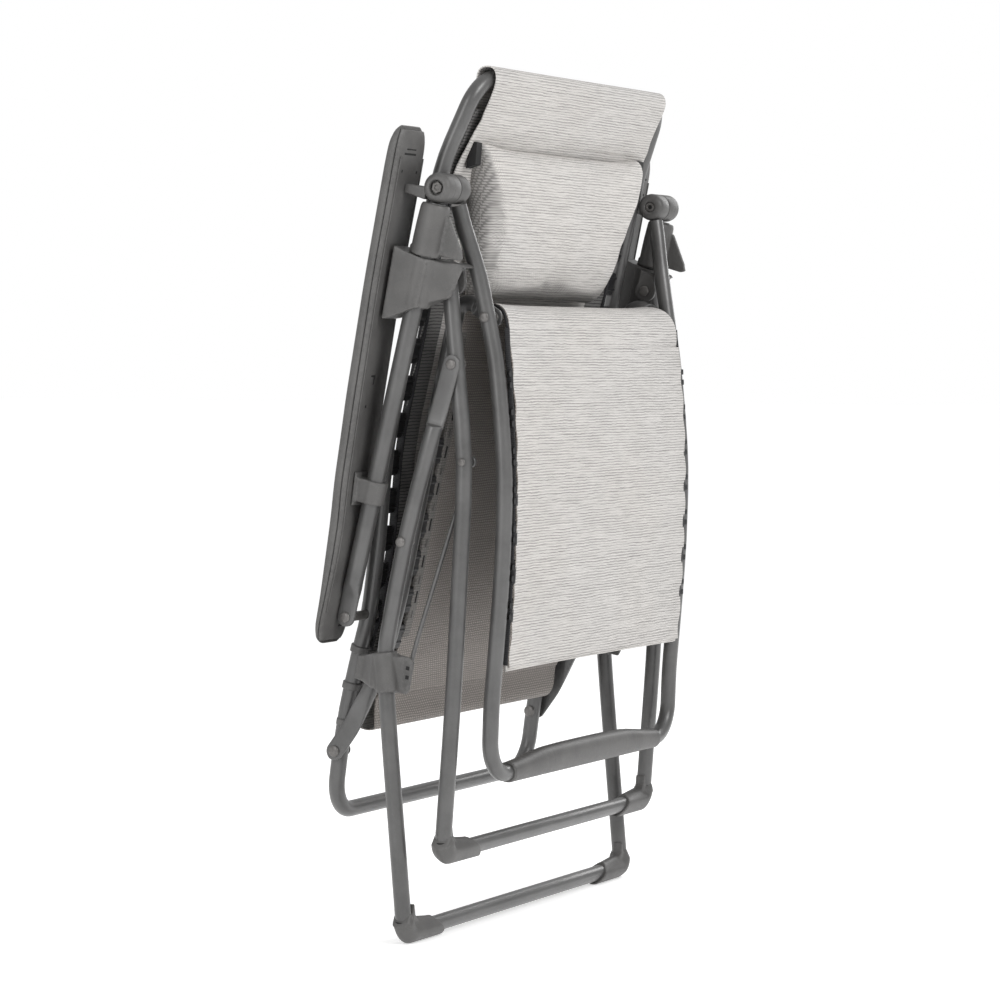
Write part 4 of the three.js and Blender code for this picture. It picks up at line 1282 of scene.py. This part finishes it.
hem_bow = lambda across: HEM_BOW * (1 - (across / 236) ** 2)
stitches("stitch_legrest_hem",
         [at(w, 91.4 + hem_bow(w) * 0.9, 310) for w in np.linspace(-232, 232, 40)], "legrest")


def legrest_side_line(sign, inset=19, lift=0.75):
    """line down the legrest panel, inset from its edge"""
    rows, runs = SLING_ROWS["sling_legrest"]
    line = []
    for i in range(4, len(rows) - 3, 6):
        half = rows[i][2]
        x = (half - inset) / half
        rise = legrest_sag(x, runs[i], runs[-1]) + lift
        line.append(at(sign * x * half, *offset(rows[i], rows[i - 1], rows[i + 1], rise)))
    return line


for sign in (1, -1):
    stitches("stitch_leg_side", legrest_side_line(sign), "legrest",
             pitch=4.2, length=2.6, radius=0.30)


# ---------------------------------------------------------------- head pillow
def back_tube_depth(height):
    """depth of the back frame's tube axis at a height"""
    return np.interp(height, [437, 541, 631, 821, 858, 945], [-52, -42.5, -22, 20, 30, 66])


def pillow_block(sides=64):
    # height, half width, half thickness before widening
    stations = [
        (699, 160, 3), (702, 164, 9), (712, 168, 13), (745, 178, 15.5), (785, 190, 16.5),
        (825, 203, 16.5), (852, 212, 15), (866, 217, 12), (874, 219.5, 8), (878, 219, 3)]
    rings = []
    for height, half, thick in stations:
        front = back_tube_depth(height) + 7 + 1.92 * thick
        thick = thick * 1.16
        centre = front - thick
        ring = []
        for k in range(sides):
            angle = k / sides * 2 * math.pi
            x, y = squared(math.cos(angle), 0.20), squared(math.sin(angle), 0.40)
            ring.append(at((half - 3.5 * y) * x, centre + thick * y, height - 0.2 * thick * y))
        rings.append(ring)
    return loft(rings)


def inflate(piece, frames=20, furthest=0.007):
    """puff the piece up as pressurised cloth, no point moving further than furthest (m)"""
    cloth = piece.modifiers.new("Cloth", "CLOTH")
    settings = cloth.settings
    settings.quality = 5
    settings.mass = 0.3
    settings.tension_stiffness = 18
    settings.compression_stiffness = 18
    settings.shear_stiffness = 8
    settings.bending_stiffness = 1.5
    settings.use_pressure = True
    settings.uniform_pressure_force = 4.0
    settings.effector_weights.gravity = 0.0
    cloth.collision_settings.use_collision = False
    cloth.point_cache.frame_start, cloth.point_cache.frame_end = 1, frames
    scene.frame_start, scene.frame_end = 1, frames
    for number in range(1, frames + 1):
        scene.frame_set(number)
    puffed = evaluated_mesh(piece)
    rest = read_points(piece.data).astype(float)
    move = read_points(puffed).astype(float) - rest
    piece.modifiers.clear()
    scene.frame_set(1)
    distance = np.linalg.norm(move, axis=1)
    share = np.minimum(1, furthest / np.maximum(distance, 1e-9))
    write_points(piece.data, rest + move * share[:, None])
    bpy.data.meshes.remove(puffed)


def crease(mesh):
    """soft creases on the front, and the rear face kept in front of the sling"""
    points = read_points(mesh).astype(float)
    across, height = -points[:, 0] * 1000, points[:, 2] * 1000
    depth = DEPTH_ORIGIN - points[:, 1] * 1000
    front = np.clip((depth - back_tube_depth(height) - 10) / 20, 0, 1)
    top = (0.9 * np.sin(height / 9.0 + 0.9 * np.sin(across / 40))
           * np.exp(-((height - 860) / 10) ** 2))
    bottom = 0.8 * np.sin(across / 21 + height / 60) * np.exp(-((height - 708) / 9) ** 2)
    depth = depth + front * (top + bottom + 0.35 * np.sin(height / 26 + across / 90))
    sling_depth = np.interp(height, [631, 726, 780, 821, 850, 882, 910],
                            [-22, 0, 11, 19, 27, 41, 53]) + 1.2
    points[:, 1] = (DEPTH_ORIGIN - np.maximum(depth, sling_depth)) / 1000
    write_points(mesh, points)
    mesh.update()


def head_pillow():
    block = mesh_obj("pillow_start", pillow_block(), CLOTH_PILLOW, sharp=None)
    remesh = block.modifiers.new("r", "REMESH")
    remesh.mode = "VOXEL"
    remesh.voxel_size = 0.0052
    piece = new_object("head_cushion", evaluated_mesh(block))
    bpy.data.objects.remove(block)
    inflate(piece)
    piece.data.update()
    soften = piece.modifiers.new("s", "SMOOTH")
    soften.factor, soften.iterations = 0.5, 4
    subdivide = piece.modifiers.new("sub", "SUBSURF")
    subdivide.levels = subdivide.render_levels = 1
    mesh = apply_modifiers(piece)
    reskin(mesh, CLOTH_PILLOW)
    crease(mesh)
    planar_uv(piece)
    put(piece, "back", "head_pillow")
    return piece


def pillow_seam(piece, lift=0.25):
    """line up the right side, over the top and down the left, laid on the skin"""
    skin = BVHTree.FromObject(piece, bpy.context.evaluated_depsgraph_get())
    side = lambda sign, height: at(sign * (165 + 55 * (height - 702) / 172 + 14),
                                   back_tube_depth(height) + 26, height)
    guide = [side(1, height) for height in np.linspace(712, 866, 32)]
    guide += [at(across, back_tube_depth(874) + 24, 892) for across in np.linspace(206, -206, 60)]
    guide += [side(-1, height) for height in np.linspace(866, 712, 32)]
    seam = []
    for point in guide:
        place, normal, _, _ = skin.find_nearest(Vector(point / 1000))
        seam.append(np.array(place) * 1000 + np.array(normal) * lift)
    return seam


stitches("stitch_pillow", pillow_seam(head_pillow()), "back", pitch=4.6, length=2.9)


def pocket_line(run=62, lift=1.2):
    """line across the head pocket, at a distance along its cloth"""
    rows, runs = SLING_ROWS["sling_head"]
    i = max(1, min(len(rows) - 1, int(np.searchsorted(runs, run))))
    place = offset(rows[i], rows[i - 1], rows[i], lift)
    return [at(across, *place) for across in np.linspace(-228, 228, 60)]


stitches("stitch_pocket", pocket_line(), "back")

# ---------------------------------------------------------------- clips along the sling edges
CLIP_PITCH, CLIP_LENGTH = 42.0, 28.0


def clip_starts(line, start):
    total = run_along(line)[-1]
    while start + CLIP_LENGTH < total:
        yield start
        start += CLIP_PITCH


def clip_bar(line, start, lift, size, taper, power):
    """bar along the line, tapered at both ends; size(height) is (across, half width, half
    thickness), taper rows are (share of the length, scale)"""
    stations = []
    for part, scale in taper:
        depth, height = place_on(line, start + CLIP_LENGTH * part, lift)
        across, half, thick = size(height)
        stations.append((across, depth, height, (half * scale, thick * scale, power)))
    return tube(stations, sides=20)


def clip_ribs(line, start, size):
    """two ribs across a plate"""
    ribs = []
    for part in (0.25, 0.75):
        depth, height = place_on(line, start + CLIP_LENGTH * part)
        across, half, thick = size(height)
        rib = (2.0, thick + 1.0, 3)
        ribs.append(tube([(across - half + 2, depth, height, rib),
                          (across + half - 1, depth, height, rib)], sides=12, ref=(0, 0, 1)))
    return ribs


def tube_band(line, start):
    """band round the back tube at the middle of a clip"""
    stations = []
    for shift, radius, power in ((-4.5, 9.2, 2), (-3, 10.7, 2.2), (3, 10.7, 2.2), (4.5, 9.2, 2)):
        depth, height = place_on(line, start + CLIP_LENGTH * 0.5 + shift)
        across = float(np.interp(height, [200, 250, 315, 355, 398, 437],
                                 [248, 249, 250, 252, 257, 262]))
        stations.append((across, depth, height, (radius, radius, power)))
    return tube(stations, sides=28)


def plates(part, line, first, size, banded=0):
    """plates from the hem to the tube, with bands round the tube on the lowest few"""
    taper = ((0, 0.72), (0.04, 0.93), (0.10, 1), (0.90, 1), (0.96, 0.93), (1, 0.72))
    shapes, bands = [], []
    for k, start in enumerate(clip_starts(line, first)):
        shapes.append(clip_bar(line, start, 0, size, taper, power=3.6))
        shapes += clip_ribs(line, start, size)
        if k < banded:
            bands.append(tube_band(line, start))
    if bands:
        sided(f"clips_{part}_band", gather(bands), PLASTIC, part, sharp=40)
    sided(f"clips_{part}", gather(shapes), BLACK, part, f"{part}_clips",
          sharp=40)


def back_clip_size(height):
    heights = [220, 355, 437]
    return (float(np.interp(height, heights, [237, 238, 242.5])),
            float(np.interp(height, heights, [7.5, 8, 12])), 2.6)


def seat_clip_size(height):
    heights = [300, 437, 556, 590]
    return (float(np.interp(height, heights, [241, 240, 231, 226])),
            float(np.interp(height, heights, [8, 8, 9, 9])), 2.2)


def legrest_clips(line, across=231.6, half=2.0, lift=-3.0):
    """bars that grip the cloth edge, each with two hooks reaching over the tube"""
    taper = ((0, 0.55), (0.05, 0.9), (0.12, 1), (0.88, 1), (0.95, 0.9), (1, 0.55))
    shapes = []
    for start in clip_starts(line, 8.0):
        shapes.append(clip_bar(line, start, lift, lambda height: (across, half, 3.6), taper,
                               power=3.5))
        for part in (0.28, 0.72):
            run = start + CLIP_LENGTH * part
            root, tip = place_on(line, run, lift), place_on(line, run, lift - 4)
            hook = [(across - 2, *root, (2.2, 3.6, 4)), (across + half + 1, *root, (2.0, 3.6, 4)),
                    (across + half + 5, *tip, (1.4, 3.2, 4))]
            shapes.append(tube(hook, sides=12, ref=(0, 1, 0)))
    return gather(shapes)


# lines the clips follow: depth, height
back_line = [(-102, 220), (-92, 272), (-81, 315), (-68.5, 355), (-52, 437), (-42.5, 541),
             (-22, 631), (20, 821), (26, 843)]
seat_line = [(-45, 310), (-29.8, 357), (-12.4, 437), (0, 500), (10, 556), (14, 590)]
legrest_line = [(90.6, 636), (94.4, 570), (97.4, 505), (95.6, 418), (89.6, 331), (88.4, 312)]
plates("back", back_line, 0.6, back_clip_size, banded=3)
plates("seat", seat_line, 8.0, seat_clip_size)
sided("clips_legrest", legrest_clips(legrest_line), BLACK,
      "legrest", "legrest_clips", sharp=40)

# ---------------------------------------------------------------- ribbons on the sling edges
ribbon_line = [(-81, 315), (-68.5, 355), (-52, 437), (-42.5, 541), (-22, 631), (20, 821),
               (28, 848)]
back_ribbon = [(229.2, *place_on(ribbon_line, run))
               for run in np.linspace(0, run_along(ribbon_line)[-1] - 0.01, 26)]
knee_ribbon = [(214.5, 45, 696.2), (216, 59, 696.8), (219, 70.6, 695.4), (222.6, 79.8, 691.2),
               (227, 87, 683), (230.4, 90.8, 671.5)]
legrest_ribbon = [
    (231.6, 90.8, 671), (232.2, 91.8, 655), (233, 92.8, 636), (233.2, 95.8, 600),
    (233.2, 98.2, 560), (233.6, 99.4, 505), (233.6, 98.4, 455), (233.6, 96.2, 400),
    (233.6, 93.0, 350), (233.6, 90.0, 312), (233.6, 89.2, 303)]
for name, path, section, body in (
        ("ribbon_back", back_ribbon, (1.7, 4.6, 5), "back"),
        ("ribbon_knee", knee_ribbon, (1.1, 1.9, 3), "legrest"),
        ("ribbon_legrest", legrest_ribbon, (0.9, 3.0, 5), "legrest")):
    sided(name, tube(path, section, sides=14), RIBBON, body, sharp=None)

# ---------------------------------------------------------------- sewn edge of the seat sling
seat_rows, _ = SLING_ROWS["sling_seat"]


def seat_spot(height, beyond, lift):
    """(across, depth, height) at a distance beyond the cloth edge, lifted off the cloth"""
    nearest = int(np.argmin(np.abs(seat_rows[:, 1] - height)))
    i = max(1, min(len(seat_rows) - 2, nearest))
    half = float(np.interp(height, seat_rows[:, 1], seat_rows[:, 2]))
    depth = float(np.interp(height, seat_rows[:, 1], seat_rows[:, 0]))
    return (half + beyond, *offset((depth, height), seat_rows[i - 1], seat_rows[i + 1], lift))


def seat_dashes(heights, reach, beyond, lift, section):
    """short upright bars on the edge, reaching up and down from each height"""
    return gather([tube([seat_spot(height - reach, beyond, lift),
                         seat_spot(height + reach, beyond, lift)], section, sides=12)
                   for height in heights])


# folded strip: beyond the edge, lift
fold = [(-15, 0.7), (-14.4, 1.5), (0.4, 2.3), (1.6, 1.4), (1.6, -1.2), (0.4, -1.8),
        (-14.4, -0.9), (-15, -0.2)]
strip = loft([[at(*seat_spot(height, *spot)) for spot in fold]
              for height in np.arange(330, 668, 8.0)])
# the strip's colour is the under-face tone darkened further as painted shade
for edge in sided("seat_edge", strip, HEM_UNDER_SHADED, "seat", sharp=30):
    planar_uv(edge)
# wire staples, and slits halfway between them drawn as near-black bars of painted shade
staple_heights = [355, 393, 434, 474, 513, 555, 596]
slit_heights = [(low + high) / 2 for low, high in zip(staple_heights, staple_heights[1:])]
sided("seat_staples", seat_dashes(staple_heights, 4.2, -6, 2.2, (1.5, 1.0, 3)), FASTENER,
      "seat")
sided("seat_slits", seat_dashes(slit_heights, 6.5, -7, 2.05, (1.6, 0.5, 3)), HOLE_SHADE,
      "seat")
# painted shade: a near-black block at each end of the head pocket stands for the shaded opening
sided("pocket_mouth", prism([(38, 846), (50, 850), (52, 874), (44, 876)], 214, 227), HOLE_SHADE,
      "back")


# ---------------------------------------------------------------- floor, world (metres)
def floor(half=40, height=-0.0003):
    shader = Shader("floor")
    mottle = shader.noise(shader.object_place(), scale=60)
    shader.fill(shader.surface, {
        "Base Color": shader.mix(mottle, (0.962, 0.962, 0.962), (0.975, 0.975, 0.975)),
        "Roughness": 0.9, "Emission Color": (1, 1, 1), "Emission Strength": 0.42})
    material = shader.finish()
    mesh = bpy.data.meshes.new("floor")
    corners = [(x * half, y * half, height) for x, y in ((-1, -1), (1, -1), (1, 1), (-1, 1))]
    mesh.from_pydata(corners, [], [(0, 1, 2, 3)])
    piece = new_object("floor", mesh)
    mesh.materials.append(material)


def white_world(lighting=0.62, seen=1.0):
    """white all round: one strength lights the chair, the other is what the camera sees"""
    world = bpy.data.worlds.new("world")
    scene.world = world
    world.use_nodes = True
    nodes, links = world.node_tree.nodes, world.node_tree.links
    nodes.clear()
    output = nodes.new("ShaderNodeOutputWorld")
    mixer = nodes.new("ShaderNodeMixShader")
    for socket, strength in ((1, lighting), (2, seen)):
        background = nodes.new("ShaderNodeBackground")
        background.inputs[0].default_value = (1, 1, 1, 1)
        background.inputs[1].default_value = strength
        links.new(background.outputs[0], mixer.inputs[socket])
    path = nodes.new("ShaderNodeLightPath")
    links.new(path.outputs["Is Camera Ray"], mixer.inputs[0])
    links.new(mixer.outputs[0], output.inputs[0])


floor()
white_world()


# ---------------------------------------------------------------- lights, camera (metres)
def aim(piece, direction):
    piece.rotation_mode = "QUATERNION"
    piece.rotation_quaternion = direction.to_track_quat("-Z", "Y")


def area(name, place, size, power, target=(0, 0, 0.5)):
    light = bpy.data.lights.new(name, "AREA")
    light.shape = "RECTANGLE"
    light.size, light.size_y = size
    light.energy = power
    lamp = new_object(name, light)
    lamp.location = place
    aim(lamp, Vector(target) - Vector(place))


area("key", place=(-1.1, -3.0, 2.6), size=(1.3, 1.3), power=62)
area("side", place=(-3.0, 0.4, 1.6), size=(0.8, 2.0), power=26)
area("rim", place=(2.6, -0.4, 1.9), size=(0.6, 2.0), power=22)

lens = bpy.data.cameras.new("cam")
lens.lens = 130.14
lens.sensor_width = 36
lens.sensor_fit = "HORIZONTAL"
lens.shift_y = -0.145
lens.clip_end = 100
camera = new_object("cam", lens)
scene.camera = camera
camera.location = at(3776.2, 1809.2, 641) / 1000
aim(camera, Vector((0.899, 0.438, 0.0)))

scene.view_settings.view_transform = "Standard"
scene.view_settings.look = "None"
